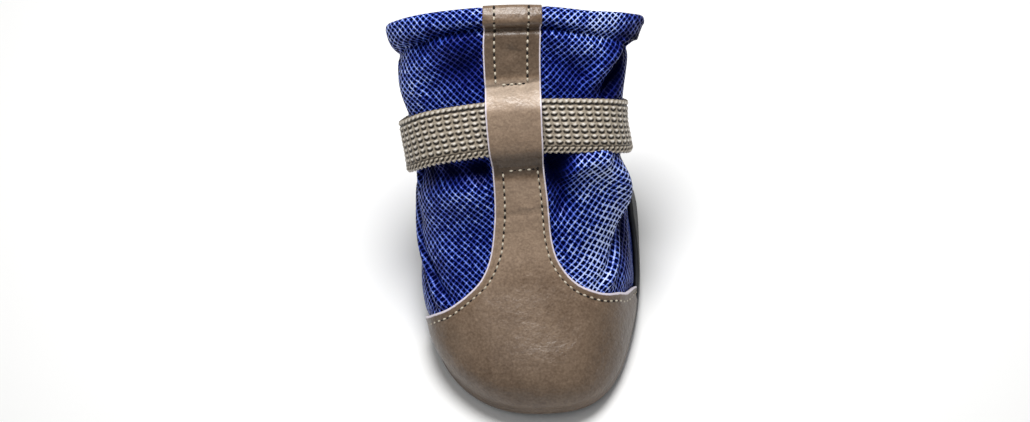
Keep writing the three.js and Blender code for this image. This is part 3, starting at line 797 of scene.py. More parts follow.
def hem_crease(depth):
    """The groove that the hem's seam pulls in, 1.5 mm deep and 8.3 mm below the rim."""
    return -1.5 * np.exp(-(((depth - 8.3) / 1.3) ** 2))


def inner_offset(below):
    """The inner face: thicker at the hem, and pushed in a little at its crease."""
    return -MESH_WALL - HEM_TURN_IN * (1 - smoothstep(below, 5.2, 7.6)) + 0.7 * hem_crease(below)


def pressed(below):
    """How far the hem is pressed together under the leather tab."""
    return 0.9 * (1 - smoothstep(below, 1.5, 6))


def lip_point(turn, extra, angle, full=0):
    """The rounded lip of the hem, from the outside over the top to the inside."""
    radius = RIM_WALL / 2 + extra
    up = skin_point(LAST, angle) - skin_point(rim_ring, angle)
    up /= np.linalg.norm(up, axis=-1, keepdims=True)
    normal = skin_normal(rim_ring, angle)
    centre = skin_point(rim_ring, angle) + normal * (HEM_SWELL - RIM_WALL / 2)
    cos_part = np.asarray(radius * np.cos(turn))[..., None]
    sin_part = np.asarray(radius * np.sin(turn) * (1 + 0.45 * full))[..., None]
    return curl_toe(centre + normal * cos_part + up * sin_part)


print("hem", HEM_DEPTH, "mm deep, swells", HEM_SWELL, "mm")

# %% The upper's grid
ROUND_STEPS = 240
outer_rings = np.concatenate([
    np.linspace(0, crease_ring - 0.25, 106),
    np.linspace(crease_ring - 0.2, rim_ring, 26),
])
lip_turns = np.linspace(0, math.pi, 10)[1:-1]
inner_rings = np.linspace(rim_ring, 0, 56)
upper_rows = len(outer_rings) + len(lip_turns) + len(inner_rings) - 1


def upper_parts(column, row):
    """The angle and ring of each grid point, and whether it is on the outside or the inside."""
    angle = column / ROUND_STEPS * 360 - 180
    outer = row < len(outer_rings)
    inner = row >= len(outer_rings) + len(lip_turns)
    ring = np.full(row.shape, float(rim_ring))
    ring[outer] = outer_rings[row[outer]]
    ring[inner] = inner_rings[row[inner] - len(outer_rings) - len(lip_turns)]
    return angle, ring, outer, inner


def upper_place(column, row):
    """Where each grid point lies, with the folds, the hem's roll and small puckers along its seam."""
    angle, ring, outer, inner = upper_parts(column, row)
    below = below_rim(ring)
    full = np.interp(angle, ANGLE_NET, FULLNESS_NET)
    under_tab = 1 - smoothstep(np.abs(angle - 1), 11.5, 15)
    pucker = 0.22 * np.sin(on_cloth(ring, angle)[..., 0] / 3.1) * smoothstep(-below, -9, -5)
    relief = folds(ring, angle)
    press = pressed(below) * under_tab
    offset = np.where(outer, hem_profile(below, full) + relief + pucker - press, 0)
    offset = np.where(inner, inner_offset(below) + np.minimum(relief, 0.8) + press, offset)
    points = on_skin(ring, angle, offset)
    lip = ~(outer | inner)
    points[lip] = lip_point(lip_turns[row[lip] - len(outer_rings)], -press[lip], angle[lip], full[lip])
    points[..., 2] += np.interp(angle, ANGLE_NET, WAVE_NET) * (1 - smoothstep(below, 0, 11))
    return points


print("upper grid", ROUND_STEPS, "by", upper_rows)

# %% The upper's weave
SKEW_CENTRE = on_weave(6.8, 46)
SKEW_REACH = 22
SKEW_TURN = math.radians(24)
SKEW_STRETCH = 0.22


def skewed(weave):
    """The mesh is pulled askew and stretched where it puffs over the right of the foot."""
    away = weave - SKEW_CENTRE
    pull = np.exp(-((np.linalg.norm(away, axis=-1) / SKEW_REACH) ** 2))
    turn = SKEW_TURN * pull
    turned = np.stack([
        away[..., 0] * np.cos(turn) + away[..., 1] * np.sin(turn),
        away[..., 1] * np.cos(turn) - away[..., 0] * np.sin(turn),
    ], -1)
    return SKEW_CENTRE + turned * (1 - SKEW_STRETCH * pull)[..., None]


def upper_cloth(column, row):
    """The cloth's own measure, which goes on over the rim and down the inside."""
    angle, ring, outer, inner = upper_parts(column, row)
    weave = on_weave(ring, angle)
    over = np.clip(row - len(outer_rings) + 1, 0, len(lip_turns)) / len(lip_turns)
    rim = on_weave(rim_ring, angle)[..., 1]
    weave[..., 1] += over * math.pi * RIM_WALL / 2
    weave[inner, 1] = (2 * rim + math.pi * RIM_WALL - weave[..., 1])[inner]
    weave[outer] = skewed(weave[outer])
    return weave


def upper_painted_light(column, row):
    """How light each grid point is painted, with painted shade and highlight."""
    angle, ring = upper_parts(column, row)[:2]
    return painted_light(ring, angle)


print("weave pulled askew round", SKEW_CENTRE.round(), "mm on the cloth")

# %% The upper, made
bm = sheet(
    ROUND_STEPS, upper_rows, upper_place, upper_cloth, wrap=True, marks={"painted_light": upper_painted_light},
    second_from=len(outer_rings) + len(lip_turns),
)
# the two open rims meet under the foot, where the wall's edge is closed
open_edges = [edge for edge in bm.edges if edge.is_boundary]
bmesh.ops.bridge_loops(bm, edges=open_edges)
bmesh.ops.recalc_face_normals(bm, faces=bm.faces)
for face in bm.faces:
    face.smooth = True
upper = finish_piece("mesh_upper", bm, [air_mesh, mesh_lining], "air_mesh", "upper")
print("lining faces", sum(polygon.material_index for polygon in upper.data.polygons))

# %% [markdown]
# ## The toe cap and its stem
# One piece of coated leather covers the toe, narrows to a stem, lifts over the strap as a belt loop and
# turns over the hem. It is cut as a sheet between its two edges, with extra columns near each edge so
# that the pressed border and the pale cut edge are crisp. A Solidify modifier gives it its thickness.

# %% The leather's lift over the strap
LOOP_SLACK = 2.3
loop_middle = strap_ring(0)
# where the loop leaves the stem, where it is full, where it starts to fall, and where it lies flat again
loop_start, loop_full, loop_back, loop_end = (
    float(ring_after(loop_middle, 0, distance)) for distance in (-15.3, -9, 6.5, 15.2))


def cap_offset(ring):
    """How far the leather's underside stands off the last. The loop hangs over the strap's lower edge."""
    lift = WEBBING_THICKNESS + 0.3
    arch = np.maximum(0, 1 - np.abs((ring - loop_middle) / (loop_end - loop_middle)) ** 2.6)
    rising = 1 - (1 - np.clip((ring - loop_start) / (loop_full - loop_start), 0, 1)) ** 2.4
    fallen = np.clip((ring - loop_back) / (loop_end - loop_back), 0, 1)
    falling = 1 - 0.25 * fallen - 0.75 * smoothstep(fallen, 0, 1)
    below = below_rim(ring)
    return SKIN_GAP + hem_profile(below) - pressed(below) + (lift + LOOP_SLACK * arch) * rising * falling


def toe_wrap(angle):
    """1 round the toe, where the leather is pulled down over the sole's edge, easing to 0 at the sides."""
    low, high = (62, 80) if angle < 0 else (46, 60)
    return 1 - float(smoothstep(abs(angle), low, high))


print("belt loop from ring", round(loop_start, 2), "to", round(loop_end, 2))

# %% The leather's grid
# the columns of the border, in millimetres from the edge
EDGE_COLUMNS = [0, 0.22, 0.45, 0.75, 1.15, 1.6, 2.0, 2.4, 3.0]
MIDDLE_COLUMNS = 46
FOOT_ROWS = 7
CAP_STEPS = 2 * (len(EDGE_COLUMNS) - 1) + MIDDLE_COLUMNS
cap_low = foxing_top(0, 1.2)
cap_rings = np.concatenate([
    np.linspace(cap_low, loop_start - 0.1, 104),
    np.linspace(loop_start - 0.08, loop_full, 32),
    np.linspace(loop_full + 0.06, loop_back - 0.06, 24),
    np.linspace(loop_back, loop_end + 0.1, 28),
    np.linspace(loop_end + 0.16, crease_ring - 0.3, 34),
    np.linspace(crease_ring - 0.25, rim_ring, 26),
])
cap_lips = np.linspace(0, math.pi, 12)[1:]
cap_inside = np.linspace(0, 1, 12)[1:]
INSIDE_DEPTH = 9
cap_rows = FOOT_ROWS + len(cap_rings) + len(cap_lips) + len(cap_inside) - 1
first_lip = FOOT_ROWS + len(cap_rings)
first_inside = first_lip + len(cap_lips)


def cap_row_ring(row):
    """The ring of each row of the leather, before its foot is lifted to the sole's edge."""
    if row < first_lip:
        return cap_rings[max(row - FOOT_ROWS, 0)]
    if row < first_inside:
        return rim_ring
    return float(ring_after(rim_ring, 0, -INSIDE_DEPTH * cap_inside[row - first_inside]))


def lengths_across(ring):
    """The columns' places round the leg: a fine border at each edge, and even steps between."""
    left = float(between(ROUND_NET, ring, cap_edge(ring, -1)))
    right = float(between(ROUND_NET, ring, cap_edge(ring, 1)))
    border = np.array(EDGE_COLUMNS)
    middle = np.linspace(left + border[-1], right - border[-1], MIDDLE_COLUMNS + 1)[1:-1]
    return np.concatenate([left + border, middle, (right - border)[::-1]])


print("leather rows", cap_rows, "columns", CAP_STEPS)

# %% The leather's foot follows the sole's edge
cap_grid_ring = np.array([[cap_row_ring(row)] * (CAP_STEPS + 1) for row in range(cap_rows + 1)], float)
cap_grid_angle = np.array([angle_after(ring, lengths_across(ring)) for ring in cap_grid_ring[:, 0]])
foot_rise = np.array([foxing_top(angle, 1.2) for angle in cap_grid_angle[0]]) - cap_low
fade = 1 - smoothstep(cap_grid_ring, cap_low, cap_low + 3.4)
outside = (np.arange(cap_rows + 1) < first_lip)[:, None]
lifted = np.where(outside, cap_grid_ring + foot_rise[None, :] * fade, cap_grid_ring)
for row in range(first_lip):
    for side, half in ((-1, cap_grid_angle[row] < 0), (1, cap_grid_angle[row] >= 0)):
        was = cap_edge(cap_grid_ring[row, 0], side)
        now = np.array([cap_edge(ring, side) for ring in lifted[row]])
        cap_grid_angle[row] = np.where(half, cap_grid_angle[row] * now / was, cap_grid_angle[row])
cap_grid_ring = lifted
print("the leather's foot rises", round(float(foot_rise.max()), 2), "rings")

# %% [markdown]
# The border outside the topstitching is pressed flat, and the leather swells a little inside it. The toe
# has shallow dents from handling, and the stem one crease across it below the loop.

# %% The leather's relief
low_row = float(ring_after(loop_start, 0, -1.5))
high_row = float(ring_after(loop_end, 0, 0.6))
DENTS = [
    # depth, width, ring, angle
    (-0.7, 9, 3.4, -32),
    (-0.5, 8, 4.4, 20),
    (-0.7, 9, 2.4, 36),
    (0.5, 9, 3.6, 2),
    (-0.4, 7, 5.6, -6),
    (-0.5, 6, 1.6, -10),
    (-0.6, 2.2, 12.0, 1),
]
# the stem's crease below the loop, and the two that the cross seams press in, as (ring, depth)
CREASES = [(7.8, 0.5), (high_row, 0.35), (low_row, 0.3)]


def leather_relief(ring, angle):
    """How far the leather stands out from its plain face, in millimetres."""
    cloth = on_cloth(ring, angle)
    edge = from_cap_edge(cloth)
    in_loop = smoothstep(ring, loop_start - 0.1, loop_full) * (1 - smoothstep(ring, loop_back, loop_end))
    swell = 0.35 * smoothstep(edge, 2.1, 4.5) * (1 - in_loop)
    groove = -0.3 * np.exp(-(((edge - 2.1) / 0.5) ** 2)) * (1 - in_loop) * (ring < loop_full)
    curl = 0.35 * np.exp(-((edge / 1.8) ** 2)) * in_loop
    relief = swell + groove + curl - 0.12 * np.exp(-((edge / 0.4) ** 2))
    for depth, width, at_ring, at_angle in DENTS:
        gap = np.linalg.norm(cloth - on_cloth(at_ring, at_angle), axis=-1)
        relief += depth * np.exp(-((gap / width) ** 2))
    for at_ring, depth in CREASES:
        line = on_cloth(np.array([at_ring - 0.05, at_ring, at_ring + 0.03]), np.array([-15.0, 0.0, 14.0]))
        relief -= depth * np.exp(-((distance_to(cloth, line) / 0.8) ** 2))
    return relief


print("dents", len(DENTS), "creases", len(CREASES))

# %% The leather's painted light and shade
# painted light and shade up the leather's middle as (ring, amount): painted shade at the toe, under the loop
# and on the tab, painted highlight on the stem and the loop's top
LEATHER_PAINTED_LIGHT = [(0, 0.62), (1.5, 0.7), (3, 0.8), (5.5, 0.92), (7, 1.28), (8.7, 1.42), (9.0, 0.4),
                (9.4, 0.45), (9.9, 1.2), (10.6, 1.4), (11.2, 2.5), (11.5, 0.66), (12.5, 0.6),
                (13, 0.7), (13.4, 0.85), (14, 0.85)]


def leather_painted_light(column, row):
    """How light the leather is painted: painted shade at the toe, its sides and under the loop, and a painted
    highlight on the stem and the loop.
    """
    ring = cap_grid_ring[row, column]
    angle = cap_grid_angle[row, column]
    up_stem = np.interp(ring, RING_NET, [from_table(LEATHER_PAINTED_LIGHT, r) for r in RING_NET])
    toe_sides = smoothstep(np.abs(angle), 22, 60) * (1 - smoothstep(ring, 4, 6))
    return up_stem * (1 - np.where(angle < 0, 0.36, 0.3) * toe_sides)


amounts = [amount for ring, amount in LEATHER_PAINTED_LIGHT]
print("leather from", min(amounts), "to", max(amounts), "times its own lightness")

# %% The leather, made
LIP_LIFT = float(SKIN_GAP + CAP_THICKNESS - pressed(0))


def cap_place(column, row):
    """Where each grid point lies: the foot pulled down over the sole's edge, the stem, and the turned top."""
    ring = cap_grid_ring[row, column]
    angle = cap_grid_angle[row, column]
    points = on_skin(ring, angle, cap_offset(ring) + CAP_THICKNESS + leather_relief(ring, angle))
    foot = row < FOOT_ROWS
    wrap = np.array([toe_wrap(a) for a in angle[foot]])
    drop = (0.8 + 2.5 * wrap) * (1 - row[foot] / FOOT_ROWS)
    points[foot, 2] -= drop
    points[foot] += skin_normal(ring[foot], angle[foot]) * (0.22 * drop - 0.1 * drop**2)[:, None]
    lip = (row >= first_lip) & (row < first_inside)
    points[lip] = lip_point(cap_lips[row[lip] - first_lip], LIP_LIFT, angle[lip])
    inner = row >= first_inside
    below = below_rim(ring[inner])
    inside = inner_offset(below) + pressed(below) - SKIN_GAP - CAP_THICKNESS
    points[inner] = on_skin(ring[inner], angle[inner], inside)
    return points


def cap_cloth(column, row):
    """The leather's own measure, in millimetres along the cloth."""
    return on_cloth(cap_grid_ring[row, column], cap_grid_angle[row, column])


bm = sheet(CAP_STEPS, cap_rows, cap_place, cap_cloth, marks={
    "edge_mm": lambda column, row: from_cap_edge(cap_cloth(column, row)),
    "painted_light": leather_painted_light,
})
turn_outwards(bm, 4.0, 0.0, on_skin(4, 0, cap_offset(4) + CAP_THICKNESS))
cap = finish_piece("leather_toe_cap", bm, [leather, cut_edge], "taupe_leather", "toe_cap")
leather_sheet = thicken(cap, CAP_THICKNESS)
leather_sheet.use_even_offset = True
leather_sheet.material_offset_rim = 1

# %% [markdown]
# ## Topstitching
# The leather is sewn down 2 to 5 mm inside its edge, with thick cream thread that sinks into dark needle
# holes every 2.9 mm. Above and below the belt loop the seam crosses the stem, which leaves the loop free.
# Each stitch is one small rounded bead, repeated along the seam, with a dot for each hole.

# %% Lines on the leather


def inside_edge(side, low, high, on_toe, on_stem):
    """A line inside one edge between two rings, so many millimetres in on the toe and on the stem."""
    rings = np.linspace(low, high, 160)
    inset = np.interp(rings, (5.4, 6.8), (on_toe, on_stem))
    edge_angle = np.array([cap_edge(ring, side) for ring in rings])
    cloth = on_cloth(rings, edge_angle)
    step = np.gradient(cloth, axis=0)
    step /= np.linalg.norm(step, axis=1, keepdims=True)
    inward = np.stack([-side * step[:, 1], side * step[:, 0]], -1)
    lengths = cloth[:, 0] + inward[:, 0] * inset
    heights = inward[:, 1] * inset
    moved_rings = np.array([float(ring_after(r, a, h)) for r, a, h in zip(rings, edge_angle, heights)])
    moved_angles = np.array([float(angle_after(r, u)) for r, u in zip(moved_rings, lengths)])
    return moved_rings, moved_angles


def across_stem(ring, left_inset, right_inset):
    """A line across the stem on one ring, so many millimetres in from each edge."""
    left = float(between(ROUND_NET, ring, cap_edge(ring, -1))) + left_inset
    right = float(between(ROUND_NET, ring, cap_edge(ring, 1))) - right_inset
    return np.full(30, ring), angle_after(ring, np.linspace(left, right, 30))


SEAM_FOOT = 0.4
toe_start = [float(values[0]) for values in inside_edge(-1, SEAM_FOOT, low_row, on_toe=2.2, on_stem=3.8)]
print("the left seam starts at ring", round(toe_start[0], 1), "and angle", round(toe_start[1]))

# %% Seams
def on_leather(rings, angles):
    """Points on the leather's face along a line, and the directions out of it."""
    points = on_skin(rings, angles, cap_offset(rings) + CAP_THICKNESS + leather_relief(rings, angles))
    return points, skin_normal(rings, angles)


def over_the_hem(rings, angles):
    """A line that goes on from the hem's outside over its lip."""
    points, normals = on_leather(rings, angles)
    turns = np.linspace(0.1, 0.9, 8)
    held = np.full(len(turns), angles[-1])
    lip = lip_point(turns, LIP_LIFT, held)
    away = lip - lip_point(turns, 0, held)
    away /= np.linalg.norm(away, axis=-1, keepdims=True)
    return np.vstack([points, lip]), np.vstack([normals, away])


hem_top = rim_ring - 0.02
seams = [
    on_leather(*inside_edge(-1, SEAM_FOOT, low_row, on_toe=2.2, on_stem=3.8)),
    on_leather(*inside_edge(1, SEAM_FOOT, low_row, on_toe=2.2, on_stem=2.4)),
    over_the_hem(*inside_edge(-1, high_row, hem_top, on_toe=4.1, on_stem=4.1)),
    over_the_hem(*inside_edge(1, high_row, hem_top, on_toe=4.7, on_stem=4.7)),
    on_leather(*across_stem(low_row, left_inset=5.2, right_inset=3.8)),
    on_leather(*across_stem(high_row, left_inset=5.6, right_inset=6.2)),
]
print("seams", [round(lengths_along(points)[-1]) for points, normals in seams], "mm long")

# %% Stitches and needle holes
STITCH = 2.9
# half sizes along the seam, across it and out of it
BEAD = (0.72, 0.42, 0.3)
HOLE = (0.66, 0.5, 0.1)
BEAD_LIFT = 0.05


def spaced(points, normals, pitch):
    """Places at an even pitch along a line, with the directions along it and out of the leather."""
    length = lengths_along(points)
    count = max(2, round(length[-1] / pitch))
    at = (np.arange(count) + 0.5) * length[-1] / count

    def values_at(lengths, values):
        return np.stack([np.interp(lengths, length, values[:, k]) for k in range(3)], -1)

    ahead = values_at(at + 0.3, points) - values_at(at - 0.3, points)
    return zip(values_at(at, points), ahead, values_at(at, normals))


def bead_shape(middle, axes, half_sizes):
    """The matrix that makes a unit sphere into a bead, with its half sizes in millimetres."""
    return Matrix.Translation(middle) @ axes @ Matrix.Diagonal((*(size * MM for size in half_sizes), 1))


thread_bm = bmesh.new()
hole_bm = bmesh.new()
stitch_count = 0
for points, normals in seams:
    for place, direction, normal in spaced(points, normals, STITCH):
        forward = Vector(direction).normalized()
        out = Vector(normal).normalized()
        out = (out - forward * out.dot(forward)).normalized()
        axes = Matrix((forward, out.cross(forward), out)).transposed().to_4x4()
        middle = Vector(place) * MM
        bead = bead_shape(middle + out * BEAD_LIFT * MM, axes, BEAD)
        bmesh.ops.create_uvsphere(thread_bm, u_segments=8, v_segments=6, radius=1, matrix=bead)
        hole = bead_shape(middle + forward * STITCH / 2 * MM, axes, HOLE)
        bmesh.ops.create_uvsphere(hole_bm, u_segments=8, v_segments=4, radius=1, matrix=hole)
        stitch_count += 1
for face in list(thread_bm.faces) + list(hole_bm.faces):
    face.smooth = True
finish_piece("topstitches", thread_bm, [thread_cream], "taupe_leather")
finish_piece("needle_holes", hole_bm, [needle_hole], "taupe_leather")
print("stitches", stitch_count)

# %% [markdown]
# ## The elastic strap
# Knitted elastic webbing has rows of small nubs, about 2.15 mm apart across it and 3.2 mm along it, with a
# finer plait at each border. The nubs show in the outline, so they are real relief on a fine sheet. The
# same height is stored with each point, and the material paints shade into the gaps and a highlight onto the
# nubs from it.

# %% The knit
KNIT_ROW = 2.15
KNIT_NUB = 3.2
BORDER_NUB = 2.1
BORDER_LINE = 8
# how far the knit's gaps lie below the webbing's full thickness, and how high its nubs stand above them
KNIT_GAP = 0.4
KNIT_RELIEF = 0.6


def knit_height(along, across):
    """0 in the gaps and 1 on the nubs, for a place on the webbing in millimetres."""
    row = across / KNIT_ROW
    number = np.rint(row)
    within = row - number
    border = np.abs(across) > BORDER_LINE
    pitch = np.where(border, BORDER_NUB, KNIT_NUB)
    phase = along / pitch + 0.09 * number + 0.06 * np.sin(along / 9.3 + number)
    side = phase - np.rint(phase)
    lean = np.where(border, side, np.abs(side))
    gap = np.exp(-(((within + 0.34 - 0.75 * lean) / 0.2) ** 2)) * (1 - smoothstep(np.abs(side), 0.26, 0.46))
    nub = np.exp(-((side / 0.32) ** 2) - ((within - 0.12) / 0.3) ** 2)
    groove = np.exp(-(((np.abs(across) - BORDER_LINE) / 0.35) ** 2))
    return np.clip(0.5 + 0.5 * nub - 1.05 * gap - 0.6 * groove, 0, 1)


print("a nub's height", round(float(knit_height(0, 0)), 2))

# %% The strap
STRAP_START = -152
STRAP_END = 136
STRAP_STEPS = 690
STRAP_ROWS = 58
EDGE_DROOP = 0.125


def strip_lines(angles, across, offsets):
    """For a strip on the strap's line: the rings of its grid, and how far along it each column lies."""
    rings = np.stack([ring_after(strap_ring(a), a, across) for a in angles], 1)
    line = on_skin(np.array([strap_ring(a) for a in angles]), angles, offsets)
    return rings, lengths_along(line)


strap_angles = np.linspace(STRAP_START, STRAP_END, STRAP_STEPS + 1)
strap_across = np.linspace(-WEBBING_WIDTH / 2, WEBBING_WIDTH / 2, STRAP_ROWS + 1)
strap_gap = np.array([strap_stand_off(a) for a in strap_angles])
strap_rings, strap_along = strip_lines(strap_angles, strap_across, strap_gap)


def strap_place(column, row):
    """Where each grid point lies, with the knit's relief and edges that droop a little."""
    height = knit_height(strap_along[column], strap_across[row])
    droop = EDGE_DROOP * (strap_across[row] / (WEBBING_WIDTH / 2)) ** 2
    offset = strap_gap[column] + WEBBING_THICKNESS - KNIT_GAP + KNIT_RELIEF * height - droop
    return on_skin(strap_rings[row, column], strap_angles[column], offset)


def strap_cloth(column, row):
    """The webbing's own measure: millimetres along it and across it."""
    return np.stack([strap_along[column], strap_across[row]], -1)


bm = sheet(STRAP_STEPS, STRAP_ROWS, strap_place, strap_cloth, marks={
    "pile": lambda column, row: knit_height(strap_along[column], strap_across[row]),
})
turn_outwards(bm, 10.0, 40.0, on_skin(10, 40, 2))
strap = finish_piece("elastic_strap", bm, [webbing_knit], "webbing", "strap_webbing")
thicken(strap, WEBBING_THICKNESS - KNIT_GAP)
print("strap", round(strap_along[-1]), "mm long")

# %% [markdown]
# ## The closing
# Behind the ankle the strap ends in a hook tab, which lands on a patch of loop tape sewn to the mesh. Both
# are plain strips with a rounded edge, so a short grid with Solidify and Bevel is enough.

# %% Loop patch and hook tab
# where each strip starts and ends round the leg, in degrees
PATCH_ENDS = (146, 206)
TAB_ENDS = (120, 196)
PATCH_BORDER = 3
PATCH_THICKNESS = 0.9
TAB_THICKNESS = 1
TAPE_GAP = 0.3
# where the tab comes down from the strap to the patch
TAB_STEP = (137, 150)


def strip(name, ends, width, offset_at, thickness, material, slot, node):
    """A strip of tape along the strap's line, between two angles."""
    columns, rows = 60, 22
    start, end = ends
    angles = np.linspace(start, end, columns + 1)
    across = np.linspace(-width / 2, width / 2, rows + 1)
    offsets = np.array([offset_at(a) for a in angles])
    rings, along = strip_lines(angles, across, offsets)

    def place(column, row):
        return on_skin(rings[row, column], angles[column], offsets[column] + thickness)

    def cloth(column, row):
        return np.stack([along[column], across[row]], -1)

    bm = sheet(columns, rows, place, cloth)
    middle = (start + end) / 2
    turn_outwards(bm, strap_ring(middle), middle, on_skin(strap_ring(middle), middle, 3))
    piece = finish_piece(name, bm, [material], slot, node)
    thicken(piece, thickness)
    rounded = piece.modifiers.new("rounded edge", "BEVEL")
    rounded.width = 0.25 * MM
    rounded.segments = 2
    rounded.limit_method = "ANGLE"


def tab_offset(angle):
    """The tab lies on the strap at its start, and comes down to the patch past the strap's end."""
    over_strap = strap_stand_off(angle) + WEBBING_THICKNESS + TAPE_GAP
    over_patch = SKIN_GAP + PATCH_THICKNESS + TAPE_GAP
    return over_strap + (over_patch - over_strap) * float(smoothstep(angle, *TAB_STEP))


strip("loop_patch_tape", PATCH_ENDS, WEBBING_WIDTH + 2 * PATCH_BORDER, lambda angle: SKIN_GAP,
      PATCH_THICKNESS, tape_loops, "loop_tape", "loop_patch")
strip("hook_tab_tape", TAB_ENDS, WEBBING_WIDTH, tab_offset,
      TAB_THICKNESS, tape_hooks, "hook_tape", "hook_tab")

# %% [markdown]
# ## The sole
# The grip sole is a sheet under the foot whose edge turns up round it. Its rows run from the middle of the
# underside out to the edge, up over the rim and back in along the floor, so one wrapped grid makes a closed
# shell. At the toe its edge is low and lies under the leather, and beside the heel it is high and thick.

# %% The sole's edge
DOT_HEIGHT = 0.8
SOLE_STEPS = 220
# how round the sole's lower corner is
CORNER_IN = 1.7
CORNER_UP = 1.5


def edge_thickness(angle):
    """The sole's edge is thin at the toe and thicker from the sides back."""
    return 1.1 + 0.7 * float(smoothstep(abs(float(wrapped(angle))), 45, 85))


sole_angles = np.linspace(-180, 180, SOLE_STEPS + 1)
sole_wall = np.array([edge_thickness(a) for a in sole_angles])
tucked = np.array([toe_wrap(a) for a in sole_angles])
sole_tops = np.array([foxing_top(a) for a in sole_angles]) * (1 - 0.92 * tucked)
inner_edge = 0.3 - 1.6 * tucked
print("sole's edge", round(sole_wall.min(), 1), "to", round(sole_wall.max(), 1), "mm thick")

# %% The sole's rows
sole_stations = [
    *[("under", share) for share in np.linspace(0, 1, 14)],
    *[("turn", share) for share in (0.3, 0.6, 0.85, 1)],
    *[("out", share) for share in np.linspace(0.1, 1, 9)],
    *[("rim", share) for share in (0.2, 0.4, 0.6, 0.8)],
    *[("in", share) for share in np.linspace(1, 0, 7)],
    *[("floor", share) for share in np.linspace(1, 0, 10)],
]


def sole_row(kind, share):
    """One ring of the sole's skin, as a row of points."""
    edge = inner_edge + sole_wall
    if kind == "under":
        points = on_skin(0, sole_angles, edge - CORNER_IN)
        points[:, :2] *= share
        points[:, 2] = DOT_HEIGHT
        return points
    if kind == "turn":
        quarter = share * math.pi / 2
        points = on_skin(0, sole_angles, edge - CORNER_IN * (1 - math.sin(quarter)))
        points[:, 2] = DOT_HEIGHT + CORNER_UP * (1 - math.cos(quarter))
        return points
    if kind == "out":
        return on_skin(sole_tops * share, sole_angles, edge)
    if kind == "rim":
        turn = share * math.pi
        lift = 0.35 * sole_wall * math.sin(turn)
        rings = np.array([float(ring_after(r, a, h)) for r, a, h in zip(sole_tops, sole_angles, lift)])
        return on_skin(rings, sole_angles, inner_edge + sole_wall * (0.5 + 0.5 * math.cos(turn)))
    if kind == "in":
        return on_skin(sole_tops * share, sole_angles, inner_edge)
    points = on_skin(0, sole_angles, inner_edge)
    points[:, :2] *= share
    points[:, 2] = SOLE_TOP
    return points


def flat_then_curled(points, kind):
    """Flat rows take the toe's spring here, because their height was set after the curl."""
    if kind in ("under", "turn", "floor"):
        points[:, 2] += toe_rise(points[:, 1])
    return points


print("rows", len(sole_stations))

# %% The sole's shell
sole_grid = np.stack([flat_then_curled(sole_row(kind, share), kind) for kind, share in sole_stations])
bm = sheet(
    SOLE_STEPS, len(sole_stations) - 1,
    lambda column, row: sole_grid[row, column],
    lambda column, row: sole_grid[row, column][:, :2],
    wrap=True,
)
bmesh.ops.recalc_face_normals(bm, faces=bm.faces)
print("sole's shell", len(bm.faces), "faces")

# %% [markdown]
# The grip dots are moulded on in staggered rows, and the boot stands on them. Each is a short round stud,
# narrower at the ground and with a rounded edge there. The dots follow the toe's spring, and they keep
# clear of the sole's border.

# %% Grip dots
DOT_PITCH = 12
BORDER_INSET = 4.2
# how far each dot is sunk into the sole's sheet, and its radius at the ground and at the sheet
DOT_SUNK = 0.3
DOT_RADII = (2.6, 3)
border = [Vector(point[:2]) for point in on_skin(0, np.linspace(-180, 180, 121), -BORDER_INSET)]


def within_border(x, y):
    """Whether a place is inside the border: a line from it to one side crosses it an odd number of times."""
    inside = False
    for a, b in zip(border, border[1:]):
        if (a.y > y) != (b.y > y) and x < a.x + (y - a.y) / (b.y - a.y) * (b.x - a.x):
            inside = not inside
    return inside


row_pitch = DOT_PITCH * math.sin(math.pi / 3)
dot_count = 0
for dot_row in range(-5, 6):
    for dot_column in range(-4, 5):
        x = (dot_column + (0.5 if dot_row % 2 else 0)) * DOT_PITCH
        y = dot_row * row_pitch
        if not within_border(x, y):
            continue
        at = Matrix.Translation(Vector((x, y, float(toe_rise(y)) + (DOT_HEIGHT + DOT_SUNK) / 2)) * MM)
        made = bmesh.ops.create_cone(
            bm, cap_ends=True, segments=20, radius1=DOT_RADII[0] * MM, radius2=DOT_RADII[1] * MM,
            depth=(DOT_HEIGHT + DOT_SUNK) * MM, matrix=at)
        lower = [edge for vert in made["verts"] for edge in vert.link_edges
                 if all(end.co.z < at.translation.z for end in edge.verts)]
        bmesh.ops.bevel(bm, geom=list(set(lower)), offset=0.25 * MM, segments=2, profile=0.5,
                        affect="EDGES", material=-1)
        dot_count += 1
for face in bm.faces:
    face.smooth = True
sole = finish_piece("grip_sole", bm, [grip_rubber], "grip_rubber", "outsole")
print("grip dots", dot_count)

# %% [markdown]
# ## The lining sole
# Inside lies a plain felt sole. Its solid already has the right shape, so only its finish changes.

# %% The insole
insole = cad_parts["insole"]
insole.data.materials.clear()
insole.data.materials.append(lining_felt)

# %% [markdown]
# ## Camera
# The photo looks down on the toe with a long lens, rolled a little, and the boot fills the height of the
# frame. A long lens on a far camera keeps the near toe and the far collar at nearly one scale, so lengths
# can be compared with the photo's pixels.

# %% The camera's view
PIXEL = 0.37 * MM
SENSOR = 36
FRAME = (1030, 422)
azimuth, elevation, roll = math.radians(7), math.radians(55), math.radians(9.7)
towards = Vector((
    math.sin(azimuth) * math.cos(elevation),
    -math.cos(azimuth) * math.cos(elevation),
    math.sin(elevation),
))
level = Vector((math.cos(azimuth), math.sin(azimuth), 0))
upright = towards.cross(level)
image_right = math.cos(roll) * level - math.sin(roll) * upright
image_up = math.sin(roll) * level + math.cos(roll) * upright
view_axes = (image_right, image_up, towards)
corners = [vert.co.copy() for piece in (upper, cap, sole) for vert in piece.data.vertices]
spans = [[point.dot(axis) for point in corners] for axis in view_axes]
centre = sum((axis * (min(span) + max(span)) / 2 for axis, span in zip(view_axes, spans)), Vector())
print("boot", round((max(spans[1]) - min(spans[1])) / PIXEL), "pixels tall")

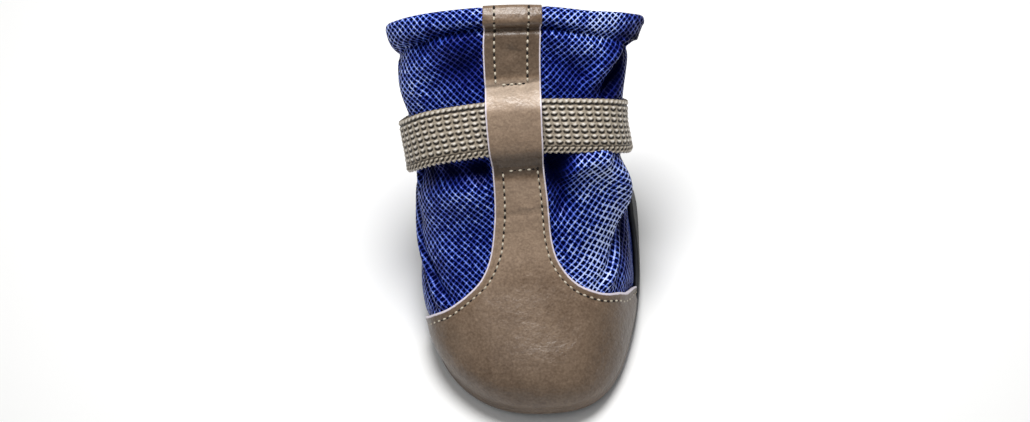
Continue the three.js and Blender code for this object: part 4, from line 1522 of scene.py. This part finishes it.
# %% The lens
distance = 1.7
camera = bpy.data.objects.new("camera", bpy.data.cameras.new("camera"))
bpy.context.collection.objects.link(camera)
camera.matrix_world = (
    Matrix.Translation(centre + towards * distance) @ Matrix(view_axes).transposed().to_4x4()
)
camera.data.sensor_width = SENSOR
camera.data.lens = SENSOR * distance / (FRAME[0] * PIXEL)
camera.data.clip_end = 20
bpy.context.scene.camera = camera
print("lens", round(camera.data.lens), "mm")

# %% [markdown]
# ## Floor and light
# A pale sheet carries the boot, and an even white sky fills in all round. The photo's shadow under the
# strap shows that its light comes from the collar's end, so the key lamp is small and near there. The
# fill is large and weak, from the camera's left.

# %% Floor
bm = bmesh.new()
bmesh.ops.create_grid(bm, x_segments=1, y_segments=1, size=3)
floor_mesh = bpy.data.meshes.new("floor")
bm.to_mesh(floor_mesh)
bm.free()
floor = bpy.data.objects.new("floor", floor_mesh)
bpy.context.collection.objects.link(floor)
floor_paint, tree, shader = new_material("pale_floor", Base_Color=linear("#f4f4f3"), Roughness=0.9)
floor_mesh.materials.append(floor_paint)
print("floor", len(floor_mesh.vertices), "corners")

# %% Light
world = bpy.data.worlds.new("studio")
world.use_nodes = True
world.node_tree.nodes["Background"].inputs["Color"].default_value = (1, 1, 1, 1)
world.node_tree.nodes["Background"].inputs["Strength"].default_value = 0.28
bpy.context.scene.world = world


def soft_light(name, direction, size, power, away):
    """A round area lamp that shines at the boot's middle from so many metres away."""
    light = bpy.data.lights.new(name, "AREA")
    light.shape = "DISK"
    light.size = size
    light.energy = power
    lamp = bpy.data.objects.new(name, light)
    bpy.context.collection.objects.link(lamp)
    lamp.location = centre + direction.normalized() * away
    lamp.rotation_euler = direction.to_track_quat("Z", "Y").to_euler()


key_way = image_up * 0.74 - image_right * 0.06 + towards * 0.67
fill_way = towards * 1.0 - image_right * 0.5 + image_up * 0.2
soft_light("key", key_way, size=0.24, power=3.0, away=0.5)
soft_light("fill", fill_way, size=1.0, power=1.2, away=1.3)
bpy.context.scene.view_settings.view_transform = "Standard"
print("lamps", [light.name for light in bpy.data.lights])
